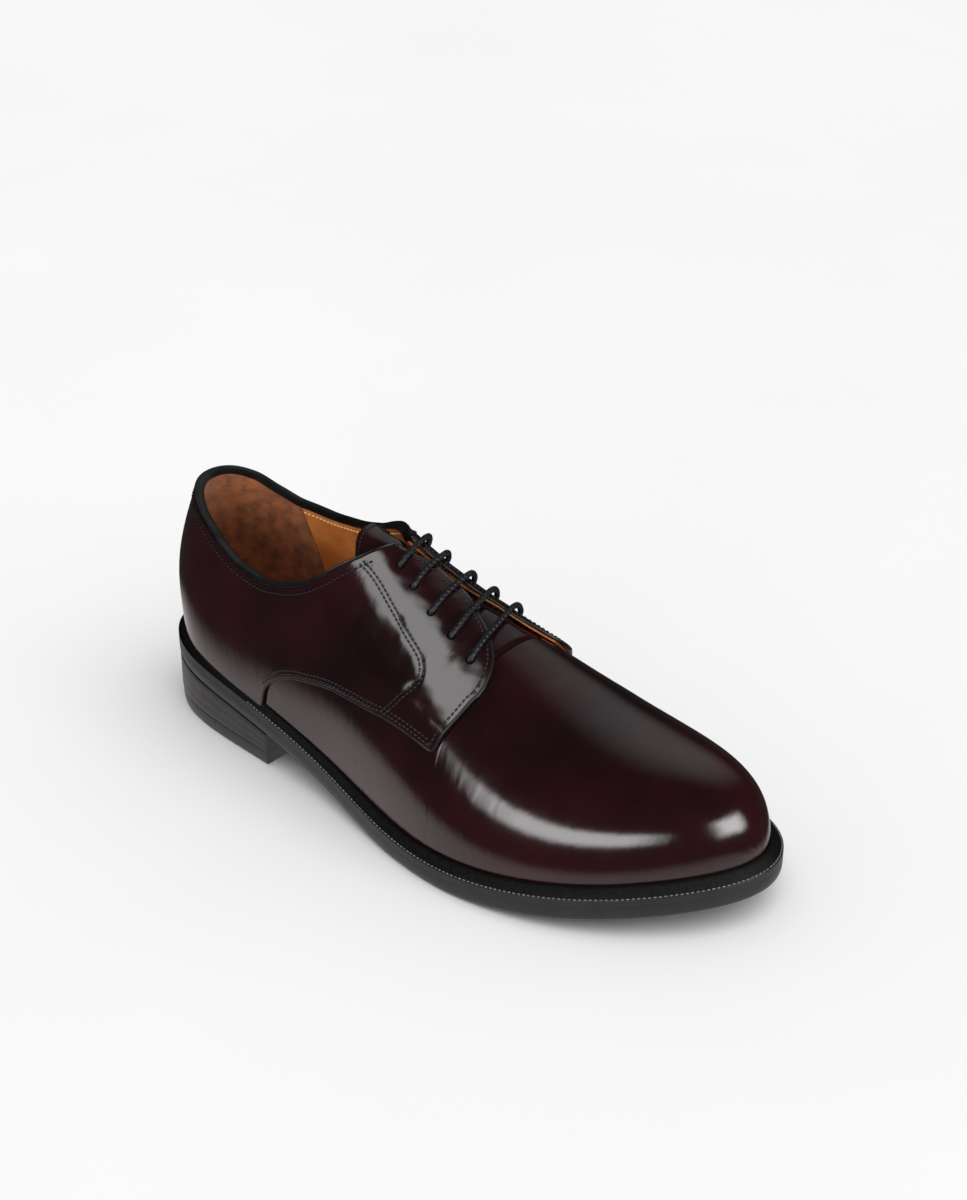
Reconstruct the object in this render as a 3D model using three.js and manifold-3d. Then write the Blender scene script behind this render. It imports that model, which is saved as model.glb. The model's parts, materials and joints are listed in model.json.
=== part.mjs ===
// A man's laced leather shoe with open facings and a welted sole, right foot, as separate pieces.
// Millimetres. +X points to the toe, +Y to the inner side of the foot, +Z up.
import * as THREE from 'three';
import { mergeVertices } from 'three/addons/utils/BufferGeometryUtils.js';
import Module from 'manifold-3d';

const wasm = await Module();
wasm.setup();

// ---- Driving dimensions ----------------------------------------------------------------------
// The last is drawn at its model size and graded to the size wanted, as a last maker grades it.
const MODEL_LENGTH = 298;
const MODEL_WIDTH = 110;
const MODEL_HEIGHT = 106;
const SOLE_LENGTH = 298;
const SOLE_WIDTH = 110;
const TOP_HEIGHT = 106;

const LAYER_GAP = 0.4;
const FIT_GAP = 0.3;

const UPPER_LEATHER = 1.1;
const LINING_LEATHER = 0.7;
const STAY_CLOTH = 0.5;
const COUNTER_BOARD = 0.9;
const PUFF_BOARD = 0.7;
const BACK_STRIP_LEATHER = 0.8;
const BACK_STRIP_WIDTH = 9;
const TONGUE_LEATHER = 1.0;
const TONGUE_LINING = 0.7;
const WALL_DROP = 3;
const BUTT_GAP = 1.5;

const INSOLE_THICKNESS = 2.5;
const SOCK_THICKNESS = 1.2;
const WELT_THICKNESS = 3;
const WELT_INNER = 3;
const OUTSOLE_THICKNESS = 5.9;
const TOP_LIFT_THICKNESS = 6;
const HEEL_BREAST = 81;
const HEEL_TAPER = 0.6;
const RIB_WIDTH = 1.8;
const SHANK_WIDTH = 14;
const SHANK_THICKNESS = 1;
const SHANK_BACK = 44;
const SHANK_FRONT = 134;
const NAIL_DIAMETER = 2;
const NAIL_TIP = 10;

const LACE_DIAMETER = 2.3;
const LACE_HOLE = 3.9;
const LACE_SLACK = 0.9;
const TONGUE_SLACK = 1.3;
const BARREL_OUTER = 5;
const BARREL_INNER = 3.9;
const AGLET_DIAMETER = 2.6;
const AGLET_LENGTH = 16;

const HALF_TURN = Math.PI;
const DEGREE = Math.PI / 180;

// ---- Curves ----------------------------------------------------------------------------------
// A smooth curve through its points, with a level start or end where asked (cubic spline).
function smooth(knots, values, levelStart = false, levelEnd = false) {
  const last = knots.length - 1;
  const diagonal = new Array(last + 1).fill(1);
  const above = new Array(last + 1).fill(0);
  const below = new Array(last + 1).fill(0);
  const right = new Array(last + 1).fill(0);
  const slope = (i) => (values[i + 1] - values[i]) / (knots[i + 1] - knots[i]);
  for (let i = 1; i < last; i += 1) {
    below[i] = (knots[i] - knots[i - 1]) / 6;
    above[i] = (knots[i + 1] - knots[i]) / 6;
    diagonal[i] = (knots[i + 1] - knots[i - 1]) / 3;
    right[i] = slope(i) - slope(i - 1);
  }
  if (levelStart) {
    diagonal[0] = (knots[1] - knots[0]) / 3;
    above[0] = diagonal[0] / 2;
    right[0] = slope(0);
  }
  if (levelEnd) {
    diagonal[last] = (knots[last] - knots[last - 1]) / 3;
    below[last] = diagonal[last] / 2;
    right[last] = -slope(last - 1);
  }
  for (let i = 1; i <= last; i += 1) {
    const factor = below[i] / diagonal[i - 1];
    diagonal[i] -= factor * above[i - 1];
    right[i] -= factor * right[i - 1];
  }
  const bend = new Array(last + 1).fill(0);
  for (let i = last; i >= 0; i -= 1) {
    bend[i] = (right[i] - (i < last ? above[i] * bend[i + 1] : 0)) / diagonal[i];
  }
  return (at) => {
    const t = Math.min(Math.max(at, knots[0]), knots[last]);
    let i = 0;
    while (i < last - 1 && t > knots[i + 1]) i += 1;
    const h = knots[i + 1] - knots[i];
    const a = (knots[i + 1] - t) / h;
    const b = 1 - a;
    return a * values[i] + b * values[i + 1]
      + ((a ** 3 - a) * bend[i] + (b ** 3 - b) * bend[i + 1]) * h * h / 6;
  };
}

// A curve through its points that never swings past them, for cut edges with sharp turns.
function edge(points) {
  const slopes = points.map((p, i) => {
    if (i === 0 || i === points.length - 1) return 0;
    const before = (p[1] - points[i - 1][1]) / (p[0] - points[i - 1][0]);
    const after = (points[i + 1][1] - p[1]) / (points[i + 1][0] - p[0]);
    return before * after > 0 ? 2 * before * after / (before + after) : 0;
  });
  return (x) => {
    if (x <= points[0][0]) return points[0][1];
    const end = points.length - 1;
    if (x >= points[end][0]) return points[end][1];
    let i = 0;
    while (x > points[i + 1][0]) i += 1;
    const h = points[i + 1][0] - points[i][0];
    const t = (x - points[i][0]) / h;
    return points[i][1] * (1 + 2 * t) * (1 - t) ** 2 + slopes[i] * h * t * (1 - t) ** 2
      + points[i + 1][1] * t * t * (3 - 2 * t) - slopes[i + 1] * h * t * t * (1 - t);
  };
}

function mix(a, b, t) {
  return a + (b - a) * t;
}

function ramp(x, from, to) {
  const t = Math.min(Math.max((x - from) / (to - from), 0), 1);
  return t * t * (3 - 2 * t);
}

// ---- The last --------------------------------------------------------------------------------
// Stations run from the back of the heel to the tip of the toe. Each section is a rounded arch
// from the outer feather edge over the ridge to the inner feather edge.
const LAST_BACK = 6;
const LAST_TIP = 293.5;
const STATIONS = [0, 0.07, 0.17, 0.27, 0.40, 0.53, 0.65, 0.77, 0.88, 0.96, 1];
const TURNS = STATIONS.map((s) => Math.acos(1 - 2 * s) / HALF_TURN);
const OUTER_FULLNESS = [53, 50, 43.5, 40, 40, 47.5, 57, 64, 66.5, 62.5, 57];
const INNER_FULLNESS = [53, 48.5, 40.5, 32, 26, 32, 44.5, 51, 53, 54, 57];
const RIDGE_LINE = [0, 0, 0, -0.5, -1.5, -1, 1.5, 5.5, 8.8, 10, 10.2];
const FEATHER_HEIGHT = [36, 34.5, 31.5, 27, 19.5, 13, 12.3, 15.3, 20, 23.5, 25];
const ARCH_HEIGHT = [90, 91, 92, 92, 88.5, 76.5, 60.5, 45.5, 35.5, 25, 0];
const OUTER_SQUARENESS = [2.1, 2.1, 2.15, 2.2, 2.25, 2.25, 2.2, 2.2, 2.25, 2.2, 2.1];
const INNER_SQUARENESS = [2.1, 2.1, 2.15, 2.3, 2.5, 2.5, 2.4, 2.35, 2.3, 2.2, 2.1];
const BACK_CURVE = smooth([-0.2, 0, 0.35, 0.7, 1, 1.5], [0, 0, -2.3, 1.5, 8.5, 22]);
const BACK_CURVE_REACH = 75;
const BACK_CURVE_FOOT = 36;
const BACK_CURVE_SPAN = 62;

const outerFullness = smooth(TURNS, OUTER_FULLNESS);
const innerFullness = smooth(TURNS, INNER_FULLNESS);
const ridgeLine = smooth(TURNS, RIDGE_LINE, true, true);
const featherHeight = smooth(TURNS, FEATHER_HEIGHT, true, true);
const archHeight = smooth(TURNS, ARCH_HEIGHT, true, false);
const outerSquareness = smooth(TURNS, OUTER_SQUARENESS);
const innerSquareness = smooth(TURNS, INNER_SQUARENESS);

const GRADE = new THREE.Vector3(
  SOLE_LENGTH / MODEL_LENGTH, SOLE_WIDTH / MODEL_WIDTH, TOP_HEIGHT / MODEL_HEIGHT);

function turnAt(x) {
  const share = Math.min(Math.max((x - LAST_BACK) / (LAST_TIP - LAST_BACK), 0), 1);
  return Math.acos(1 - 2 * share) / HALF_TURN;
}

function turnPlace(turn) {
  return LAST_BACK + (LAST_TIP - LAST_BACK) * (1 - Math.cos(HALF_TURN * turn)) / 2;
}

// A point of the last. `lean` is 0 on the ridge, -90 on the outer and 90 on the inner feather edge,
// and goes on to -100 and 100 down the lasted margin to the top of the welt.
function lastPoint(turn, lean) {
  const side = lean < 0 ? -1 : 1;
  const rise = Math.max(90 - Math.abs(lean), 0) * DEGREE;
  const margin = Math.max(Math.abs(lean) - 90, 0) / 10;
  const square = side < 0 ? outerSquareness(turn) : innerSquareness(turn);
  const fullness = side < 0 ? outerFullness(turn) : innerFullness(turn);
  const reach = Math.cos(rise) ** (2 / square);
  const height = Math.sin(rise) ** (2 / square);
  const z = featherHeight(turn) + archHeight(turn) * height;
  const x = turnPlace(turn);
  const y = ridgeLine(turn) + side * Math.sin(HALF_TURN * turn) * fullness * reach;
  const fade = Math.min(Math.max(1 - (x - LAST_BACK) / BACK_CURVE_REACH, 0), 1) ** 2;
  const back = BACK_CURVE((z - BACK_CURVE_FOOT) / BACK_CURVE_SPAN) * fade;
  const point = new THREE.Vector3(x + back, y, z);
  point.multiply(GRADE);
  point.z -= margin * WALL_DROP;
  return point;
}

// The outward direction of the last at a point, from two short steps along it.
function lastNormal(turn, lean, side) {
  if (turn > 0.9999) return new THREE.Vector3(1, 0, 0);
  const step = 0.002;
  const u0 = Math.max(turn - step, 0);
  const u1 = Math.min(turn + step, 1);
  const limit = side < 0 ? [-90, -0.01] : [0.01, 90];
  const bounded = Math.abs(lean) < 1 ? lean : Math.min(Math.max(lean, limit[0]), limit[1]);
  const tilt = 0.6;
  const along = lastPoint(u1, bounded).sub(lastPoint(u0, bounded));
  const low = Math.max(bounded - tilt, -90);
  const high = Math.min(bounded + tilt, 90);
  const across = lastPoint(turn, high).sub(lastPoint(turn, low));
  return along.cross(across).normalize();
}

function onLast(turn, lean, offset, side = Math.sign(lean)) {
  const base = lastPoint(turn, lean);
  return base.addScaledVector(lastNormal(turn, lean, side), offset);
}

// ---- Solids ----------------------------------------------------------------------------------
// A closed body from a list of points and faces, with its faces pointing out.
function closedBody(points, faces) {
  const geometry = new THREE.BufferGeometry();
  const numbers = points.flatMap((p) => [p.x, p.y, p.z]);
  geometry.setAttribute('position', new THREE.Float32BufferAttribute(numbers, 3));
  geometry.setIndex(faces.flat());
  return withoutSlivers(mergeVertices(geometry, 1e-3));
}

function withoutSlivers(geometry) {
  const index = geometry.getIndex().array;
  const position = geometry.getAttribute('position');
  const kept = [];
  let volume = 0;
  const corner = [new THREE.Vector3(), new THREE.Vector3(), new THREE.Vector3()];
  for (let i = 0; i < index.length; i += 3) {
    const [a, b, c] = [index[i], index[i + 1], index[i + 2]];
    if (a === b || b === c || a === c) continue;
    kept.push([a, b, c]);
    corner.forEach((v, k) => v.fromBufferAttribute(position, index[i + k]));
    volume += corner[0].dot(corner[1].clone().cross(corner[2]));
  }
  geometry.setIndex(kept.flatMap(([a, b, c]) => (volume < 0 ? [a, c, b] : [a, b, c])));
  return geometry;
}

function toManifold(geometry) {
  const plain = geometry.clone();
  plain.deleteAttribute('normal');
  plain.deleteAttribute('uv');
  const merged = mergeVertices(plain, 1e-4);
  return new wasm.Manifold(new wasm.Mesh({
    numProp: 3,
    vertProperties: new Float32Array(merged.getAttribute('position').array),
    triVerts: new Uint32Array(merged.getIndex().array),
  }));
}

function fromManifold(solid) {
  const mesh = solid.getMesh();
  const geometry = new THREE.BufferGeometry();
  geometry.setAttribute('position', new THREE.Float32BufferAttribute(mesh.vertProperties, 3));
  geometry.setIndex(Array.from(mesh.triVerts));
  return geometry;
}

function cut(geometry, tools) {
  let solid = toManifold(geometry);
  for (const tool of tools) solid = solid.subtract(toManifold(tool));
  return fromManifold(solid);
}

function keep(geometry, tool) {
  return fromManifold(toManifold(geometry).intersect(toManifold(tool)));
}

// Lofts a closed tube of sections, each a ring of the same number of points.
function loft(sections, closedLoop = false) {
  const size = sections[0].length;
  const faces = [];
  const rounds = closedLoop ? sections.length : sections.length - 1;
  for (let i = 0; i < rounds; i += 1) {
    const a = i * size;
    const b = ((i + 1) % sections.length) * size;
    for (let k = 0; k < size; k += 1) {
      const n = (k + 1) % size;
      faces.push([a + k, b + k, b + n], [a + k, b + n, a + n]);
    }
  }
  if (!closedLoop) {
    const end = (sections.length - 1) * size;
    for (let k = 1; k < size - 1; k += 1) {
      faces.push([0, k, k + 1], [end, end + k + 1, end + k]);
    }
  }
  return closedBody(sections.flat(), faces);
}

// A piece of leather on the last: a grid of points `place(a, b)` at two distances from the last.
function leather(place, outer, inner, along, across) {
  const points = [];
  for (const offset of [outer, inner]) {
    for (let i = 0; i <= along; i += 1) {
      for (let j = 0; j <= across; j += 1) {
        const { turn, lean, side, x } = place(i / along, j / across);
        points.push(onLast(turn, lean, typeof offset === 'function' ? offset(x, lean) : offset, side));
      }
    }
  }
  const at = (layer, i, j) => layer * (along + 1) * (across + 1) + i * (across + 1) + j;
  const faces = [];
  const quad = (a, b, c, d) => faces.push([a, b, c], [a, c, d]);
  for (let i = 0; i < along; i += 1) {
    for (let j = 0; j < across; j += 1) {
      quad(at(0, i, j), at(0, i + 1, j), at(0, i + 1, j + 1), at(0, i, j + 1));
      quad(at(1, i, j), at(1, i, j + 1), at(1, i + 1, j + 1), at(1, i + 1, j));
    }
    quad(at(0, i, 0), at(1, i, 0), at(1, i + 1, 0), at(0, i + 1, 0));
    quad(at(0, i, across), at(0, i + 1, across), at(1, i + 1, across), at(1, i, across));
  }
  for (let j = 0; j < across; j += 1) {
    quad(at(0, 0, j), at(0, 0, j + 1), at(1, 0, j + 1), at(1, 0, j));
    quad(at(0, along, j), at(1, along, j), at(1, along, j + 1), at(0, along, j + 1));
  }
  return closedBody(points, faces);
}

// Places for a piece that lies on one side, or across the ridge, between two cut edges.
function between(start, end, low, high, spread = (a) => a) {
  return (a, b) => {
    const turn = mix(turnAt(start), turnAt(end), spread(a));
    const x = turnPlace(turn);
    const lean = mix(low(x), high(x), b);
    return { turn, lean, side: Math.sign(lean) || 1, x };
  };
}

// Lines stand closer together towards the round front of a facing.
function towardsFront(a) {
  return Math.sin(a * HALF_TURN / 2);
}

// Places for a piece that wraps the back of the heel, from `end` on one side to `end` on the other.
function aroundHeel(endAt, low, high) {
  return (a, b) => {
    const side = a < 0.5 ? -1 : 1;
    const turn = turnAt(endAt(b)) * Math.abs(2 * a - 1);
    const x = turnPlace(turn);
    const lean = mix(low(x, side), high(x, side), b);
    return { turn, lean, side, x };
  };
}

// ---- Cut edges of the upper (distance from the heel, lean on the last) -------------------------
const outerTopline = edge([[6, -44.5], [20, -46.7], [30, -49], [40, -51.3], [48, -53.6], [62, -55.8],
  [74, -55.5], [86, -52.5], [96, -48], [105, -41], [112.3, -32], [119, -21.5], [123.5, -11.5], [126.7, -4]]);
const innerTopline = edge([[6, 44.5], [20, 47.3], [32, 52], [45, 54.7], [60, 54.2], [78, 50.9], [94, 44],
  [106, 33.6], [116, 21], [122, 10.5], [126.7, 6]]);
const outerFacing = edge([[126.7, -4], [134, -1], [143, 2.5], [154, 2], [164, -1], [170.7, -3.5],
  [176.3, -7], [181.8, -12.5], [184.6, -18], [186.2, -23.5]]);
const innerFacing = edge([[126.7, 6], [134, 6.5], [143, 8.5], [155, 10.2], [163, 13.9], [170, 16.7],
  [176, 19.5], [181, 23.4], [184.6, 28.4], [186.2, 33.5]]);
const outerHem = edge([[76.5, -100], [78, -90], [81, -85], [87, -81.5], [96, -77.5], [108, -74],
  [120, -70.5], [132, -67.5], [145, -64], [153, -61.5], [162, -59.5], [172, -58], [178.5, -57.5],
  [181.8, -48], [184.2, -39.5], [186.2, -29]]);
const innerHem = edge([[76.5, 100], [78, 90], [81, 85], [87, 81.5], [96, 77.5], [108, 74],
  [120, 71], [132, 68.5], [145, 66], [153, 64.5], [162, 63], [172, 62], [178.5, 61.5],
  [181.8, 53.5], [184.2, 46], [186.2, 39.5]]);
const FRONT_TIP = 186.2;
const SEAM_HALF = 8;
const BINDING_LEAN = 3.2;
const EDGE_LEAN = 0.7;

function topEdge(x, side) {
  return side < 0 ? outerTopline(x) : innerTopline(x);
}

function quarterTop(x, side) {
  const corner = 126.7;
  const lean = x < corner ? topEdge(x, side) : (side < 0 ? outerFacing : innerFacing)(x);
  const bound = (BINDING_LEAN + EDGE_LEAN) * (1 - ramp(x, corner - 6, corner));
  return lean + side * bound;
}

function quarterHem(x, side) {
  return side < 0 ? outerHem(x) : innerHem(x);
}

// The vamp's wings run back under the quarters, a lap above the hem.
const outerWing = edge([[60, -88], [72, -80], [82, -74], [96, -68], [120, -61], [145, -54], [165, -48],
  [176, -44], [184, -38]]);
const innerWing = edge([[60, 88], [72, 80], [82, 74], [96, 68], [120, 62], [145, 57], [165, 53],
  [176, 50], [184, 46]]);
const WING_BACK = 66;
const VAMP_THROAT = 182;
const LINING_THROAT = 192;

// How far the facing flaps stand off the last, so that they lie over the vamp: fully along the
// facings, and not at all at the hem, where the quarter is stitched down on the vamp.
function flapLift(x, lean = 0) {
  const hemStart = lean < 0 ? 47 : 51;
  return ramp(x, 138, 168) * (1 - ramp(Math.abs(lean), hemStart, hemStart + 10));
}

const FLAP_RISE = LINING_LEATHER + STAY_CLOTH + 2 * LAYER_GAP;
const quarterInner = (x, lean) => LAYER_GAP + FLAP_RISE * flapLift(x, lean);
const quarterOuter = (x, lean) => quarterInner(x, lean) + UPPER_LEATHER;
const stayOuter = (x) => quarterInner(x) - LAYER_GAP - 0.25 * (1 - flapLift(x));
const stayInner = (x) => stayOuter(x) - STAY_CLOTH;
const vampInner = -UPPER_LEATHER;
const liningOuter = (x) => mix(vampInner - LAYER_GAP, LAYER_GAP + LINING_LEATHER, flapLift(x));
const liningInner = (x) => liningOuter(x) - LINING_LEATHER;
const laceUnder = (x) => liningInner(x) - LACE_SLACK - LACE_DIAMETER / 2;
const tongueOuter = (x) => mix(laceUnder(x) - LACE_DIAMETER / 2 - TONGUE_SLACK, vampInner - LAYER_GAP,
  ramp(x, 172, 183));
const counterOuter = 0;
const puffOuter = vampInner - LAYER_GAP;
const vampLiningOuter = (x) => vampInner - LAYER_GAP - (PUFF_BOARD + LAYER_GAP) * ramp(x, 222, 240);
const insoleInset = (turn) => 1.9 + LINING_LEATHER + FIT_GAP + 1.1 * ramp(turn, 0.66, 0.72) + 0.8 * ramp(turn, 0.85, 0.95);

// ---- Colours ---------------------------------------------------------------------------------
const LOOKS = {
  oxblood: { color: 0x2b1214, roughness: 0.16, metalness: 0 },
  black_leather: { color: 0x121214, roughness: 0.4, metalness: 0 },
  tan: { color: 0xa8622c, roughness: 0.6, metalness: 0 },
  suede: { color: 0x9c6236, roughness: 0.95, metalness: 0 },
  board: { color: 0xb89a6e, roughness: 0.85, metalness: 0 },
  cork: { color: 0x9a6f43, roughness: 0.95, metalness: 0 },
  cloth: { color: 0xd9d2c2, roughness: 0.9, metalness: 0 },
  rubber: { color: 0x2c2d2f, roughness: 0.5, metalness: 0 },
  welt: { color: 0x151515, roughness: 0.55, metalness: 0 },
  steel: { color: 0x9a9da1, roughness: 0.35, metalness: 1 },
  brass: { color: 0xa98d4f, roughness: 0.35, metalness: 1 },
  lace: { color: 0x15171c, roughness: 0.5, metalness: 0 },
};

const shoe = new THREE.Group();
shoe.name = 'shoe';

function add(name, geometry, look) {
  const { color, roughness, metalness } = LOOKS[look];
  const solid = geometry.clone();
  solid.deleteAttribute('normal');
  solid.deleteAttribute('uv');
  const material = new THREE.MeshStandardMaterial({ color, roughness, metalness });
  const mesh = new THREE.Mesh(solid, material);
  mesh.name = name;
  shoe.add(mesh);
}

// ---- Eyelets ---------------------------------------------------------------------------------
// [distance from the heel, lean] of each eyelet; the inner row lies a little further back.
const OUTER_EYELETS = [[133.4, -11], [142.5, -13.5], [153.8, -16.5], [165.1, -17.5], [176, -19.5]];
const INNER_EYELETS = [[129, 20], [138, 21.5], [149.5, 23.5], [158.5, 26], [167.5, 29.5]];
const EYELETS = [
  ...OUTER_EYELETS.map(([x, lean], row) => ({ name: `outer_${row + 1}`, x, lean, side: -1 })),
  ...INNER_EYELETS.map(([x, lean], row) => ({ name: `inner_${row + 1}`, x, lean, side: 1 })),
];

// A round tool square to the last at an eyelet, from `high` down to `low`.
function boreAt(eyelet, diameter, high, low) {
  const turn = turnAt(eyelet.x);
  const top = onLast(turn, eyelet.lean, high, eyelet.side);
  const bottom = onLast(turn, eyelet.lean, low, eyelet.side);
  const bore = new THREE.CylinderGeometry(diameter / 2, diameter / 2, high - low, 10);
  const direction = top.clone().sub(bottom).normalize();
  bore.applyQuaternion(new THREE.Quaternion().setFromUnitVectors(new THREE.Vector3(0, 1, 0), direction));
  const middle = top.add(bottom).multiplyScalar(0.5);
  return bore.translate(middle.x, middle.y, middle.z);
}

function boresOf(side, diameter) {
  return EYELETS.filter((e) => e.side === side).map((e) => boreAt(e, diameter, 8, -8));
}

function addEyelets() {
  for (const eyelet of EYELETS) {
    const high = quarterInner(eyelet.x) - 2 * FIT_GAP;
    const low = liningInner(eyelet.x);
    const barrel = boreAt(eyelet, BARREL_OUTER, high, low);
    add(`blind_eyelet_${eyelet.name}`, cut(barrel, [boreAt(eyelet, BARREL_INNER, high + 2, low - 2)]), 'brass');
  }
}

// ---- Upper -----------------------------------------------------------------------------------
const SIDES = [{ name: 'outer', side: -1 }, { name: 'inner', side: 1 }];
const SEAM_BACK = 6.02;

function addVamp() {
  const whole = between(WING_BACK, LAST_TIP, () => -100, () => 100);
  const notch = between(WING_BACK - 8, VAMP_THROAT, outerWing, innerWing);
  const vamp = leather(whole, 0, vampInner, 24, 20);
  add('vamp', cut(vamp, [leather(notch, 5, -5, 14, 6)]), 'oxblood');
}

function addQuarters() {
  for (const { name, side } of SIDES) {
    const hem = (x) => quarterHem(x, side);
    const top = (x) => quarterTop(x, side);
    const place = between(SEAM_BACK, FRONT_TIP, hem, top, towardsFront);
    const body = leather(place, quarterOuter, quarterInner, 30, 7);
    add(`quarter_${name}`, cut(body, boresOf(side, LACE_HOLE)), 'oxblood');
  }
}

function addBackStrip() {
  const reach = (BACK_STRIP_WIDTH / 2) / (HALF_TURN * OUTER_FULLNESS[0]);
  const low = (x, side) => side * 99;
  const high = (x, side) => topEdge(x, side) + side * (BINDING_LEAN + EDGE_LEAN);
  const place = aroundHeel(() => turnPlace(reach), low, high);
  const under = quarterOuter(0) + FIT_GAP;
  add('back_strip', leather(place, under + BACK_STRIP_LEATHER, under, 6, 10), 'black_leather');
}

function addBinding() {
  const low = (x, side) => topEdge(x, side) + side * BINDING_LEAN;
  const high = (x, side) => topEdge(x, side);
  const place = aroundHeel(() => 121, low, high);
  const outside = quarterOuter(0) + FIT_GAP;
  add('topline_binding', leather(place, outside, liningInner(0), 48, 1), 'black_leather');
}

function addTongue() {
  const half = edge([[108, 26], [116, 30], [140, 44], [160, 46], [176, 34], [190, 24]]);
  const low = (x) => -half(x) + 3;
  const high = (x) => half(x) + 6;
  const place = between(113, 188, low, high);
  const leatherInner = (x) => tongueOuter(x) - TONGUE_LEATHER;
  const liningTop = (x) => leatherInner(x) - LAYER_GAP;
  add('tongue', leather(place, tongueOuter, leatherInner, 14, 8), 'oxblood');
  const lining = between(114, 174, (x) => low(x) + 1, (x) => high(x) - 1);
  add('tongue_lining', leather(lining, liningTop, (x) => liningTop(x) - TONGUE_LINING, 11, 7), 'tan');
}

// ---- Linings and stiffeners ------------------------------------------------------------------
const GRIP_TOP = 44;
const GRIP_FOOT = 64;
const COUNTER_END = 62;
const LINING_STEP = 136;

function addHeelGrip() {
  const low = (x, side) => side * 97;
  const high = (x, side) => topEdge(x, side) + side * (BINDING_LEAN + EDGE_LEAN);
  const place = aroundHeel((b) => mix(GRIP_FOOT, GRIP_TOP, b), low, high);
  add('heel_grip', leather(place, liningOuter(0), liningInner(0), 16, 5), 'suede');
}

function addCounter() {
  const low = (x, side) => side * 97;
  const high = (x, side) => topEdge(x, side) + side * 14;
  const place = aroundHeel(() => COUNTER_END, low, high);
  add('heel_counter', leather(place, counterOuter, counterOuter - COUNTER_BOARD, 16, 4), 'board');
}

function addQuarterLinings() {
  for (const { name, side } of SIDES) {
    const wing = side < 0 ? outerWing : innerWing;
    const low = () => side * 97;
    const high = (x) => quarterTop(x, side);
    const place = (a, b) => {
      const start = mix(GRIP_FOOT, GRIP_TOP, b) + BUTT_GAP;
      return between(start, FRONT_TIP - BUTT_GAP, low, high, towardsFront)(a, b);
    };
    // Past this place the vamp's wing lines the foot, and the quarter lining stops above it.
    const wingSide = between(LINING_STEP, FRONT_TIP + 4, (x) => wing(x) - side * 3, () => side * 101);
    const tools = boresOf(side, BARREL_OUTER + 2 * FIT_GAP);
    tools.push(leather(wingSide, 6, -8, 10, 6));
    add(`quarter_lining_${name}`, cut(leather(place, liningOuter, liningInner, 24, 8), tools), 'tan');
  }
}

function addStays() {
  for (const { name, side } of SIDES) {
    const high = (x) => quarterTop(x, side) + side * 3;
    const low = (x) => {
      return edge(side < 0 ? OUTER_EYELETS : INNER_EYELETS)(x) + side * 9;
    };
    const body = leather(between(131, 179.5, low, high), stayOuter, stayInner, 13, 4);
    add(`facing_stay_${name}`, cut(body, boresOf(side, BARREL_OUTER + 2 * FIT_GAP)), 'cloth');
  }
}

function addVampLining() {
  const rear = LINING_STEP + 3;
  const whole = between(rear, LAST_TIP, () => -97, () => 97);
  const notch = between(rear - 8, LINING_THROAT, (x) => outerWing(x) - 4, (x) => innerWing(x) + 4);
  const inner = (x) => vampLiningOuter(x) - LINING_LEATHER;
  const lining = leather(whole, vampLiningOuter, inner, 18, 16);
  add('vamp_lining', cut(lining, [leather(notch, 5, -8, 10, 6)]), 'tan');
}

function addToePuff() {
  const place = between(246, LAST_TIP, () => -96, () => 96);
  add('toe_puff', leather(place, puffOuter, puffOuter - PUFF_BOARD, 8, 16), 'board');
}

// ---- Bottom ----------------------------------------------------------------------------------
// How far the sole stands out past the upper, from the heel to the toe.
const soleMargin = smooth([0, 0.2, 0.38, 0.55, 0.75, 1], [4.6, 3.4, 2.8, 4.6, 5.4, 5.2], true, true);

function rimPoint(turn, side, out) {
  const here = lastPoint(turn, side * 90);
  const step = 0.002;
  const a = lastPoint(Math.max(turn - step, 0), side * 90);
  const b = lastPoint(Math.min(turn + step, 1), side * 90);
  const along = b.sub(a);
  const away = new THREE.Vector3(-along.y, along.x, 0).multiplyScalar(side).normalize();
  if (turn < 1e-6) away.set(-1, 0, 0);
  if (turn > 1 - 1e-6) away.set(1, 0, 0);
  return new THREE.Vector3(here.x + away.x * out, here.y + away.y * out, here.z);
}

const weltTop = (z) => z - WALL_DROP - FIT_GAP;
const weltBottom = (z) => weltTop(z) - WELT_THICKNESS;
const outsoleTop = (z) => weltBottom(z) - FIT_GAP;
const outsoleBottom = (z) => Math.max(outsoleTop(z) - OUTSOLE_THICKNESS, 0);
const insoleTop = (z) => z - 0.5;
const insoleBottom = (z) => insoleTop(z) - INSOLE_THICKNESS;
const fillerTop = (z) => insoleBottom(z) - FIT_GAP;

// A flat layer of the bottom between two turns of the last.
function layer(from, to, rows, rim, top, bottom) {
  const sections = [];
  for (let i = 0; i <= rows; i += 1) {
    const turn = mix(from, to, i / rows);
    const outer = rim(turn, -1);
    const inner = rim(turn, 1);
    sections.push([
      outer.clone().setZ(bottom(outer.z)), inner.clone().setZ(bottom(inner.z)),
      inner.clone().setZ(top(inner.z)), outer.clone().setZ(top(outer.z)),
    ]);
  }
  return loft(sections);
}

// A strip that follows the rim: all of the loop past `from`, or the part round the heel before it.
function strip(turns, out, inn, top, bottom) {
  return loft(turns.map(({ turn, side }) => {
    const far = rimPoint(turn, side, out(turn));
    const near = rimPoint(turn, side, inn(turn));
    return [
      far.clone().setZ(bottom(far.z)), near.clone().setZ(bottom(near.z)),
      near.clone().setZ(top(near.z)), far.clone().setZ(top(far.z)),
    ];
  }));
}

function loopPast(from, count) {
  const outward = Array.from({ length: count }, (_, i) => ({ turn: mix(from, 1, i / count), side: -1 }));
  const homeward = Array.from({ length: count }, (_, i) => ({ turn: mix(1, from, (i + 1) / count), side: 1 }));
  return [...outward, { turn: 1, side: -1 }, ...homeward];
}

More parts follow.
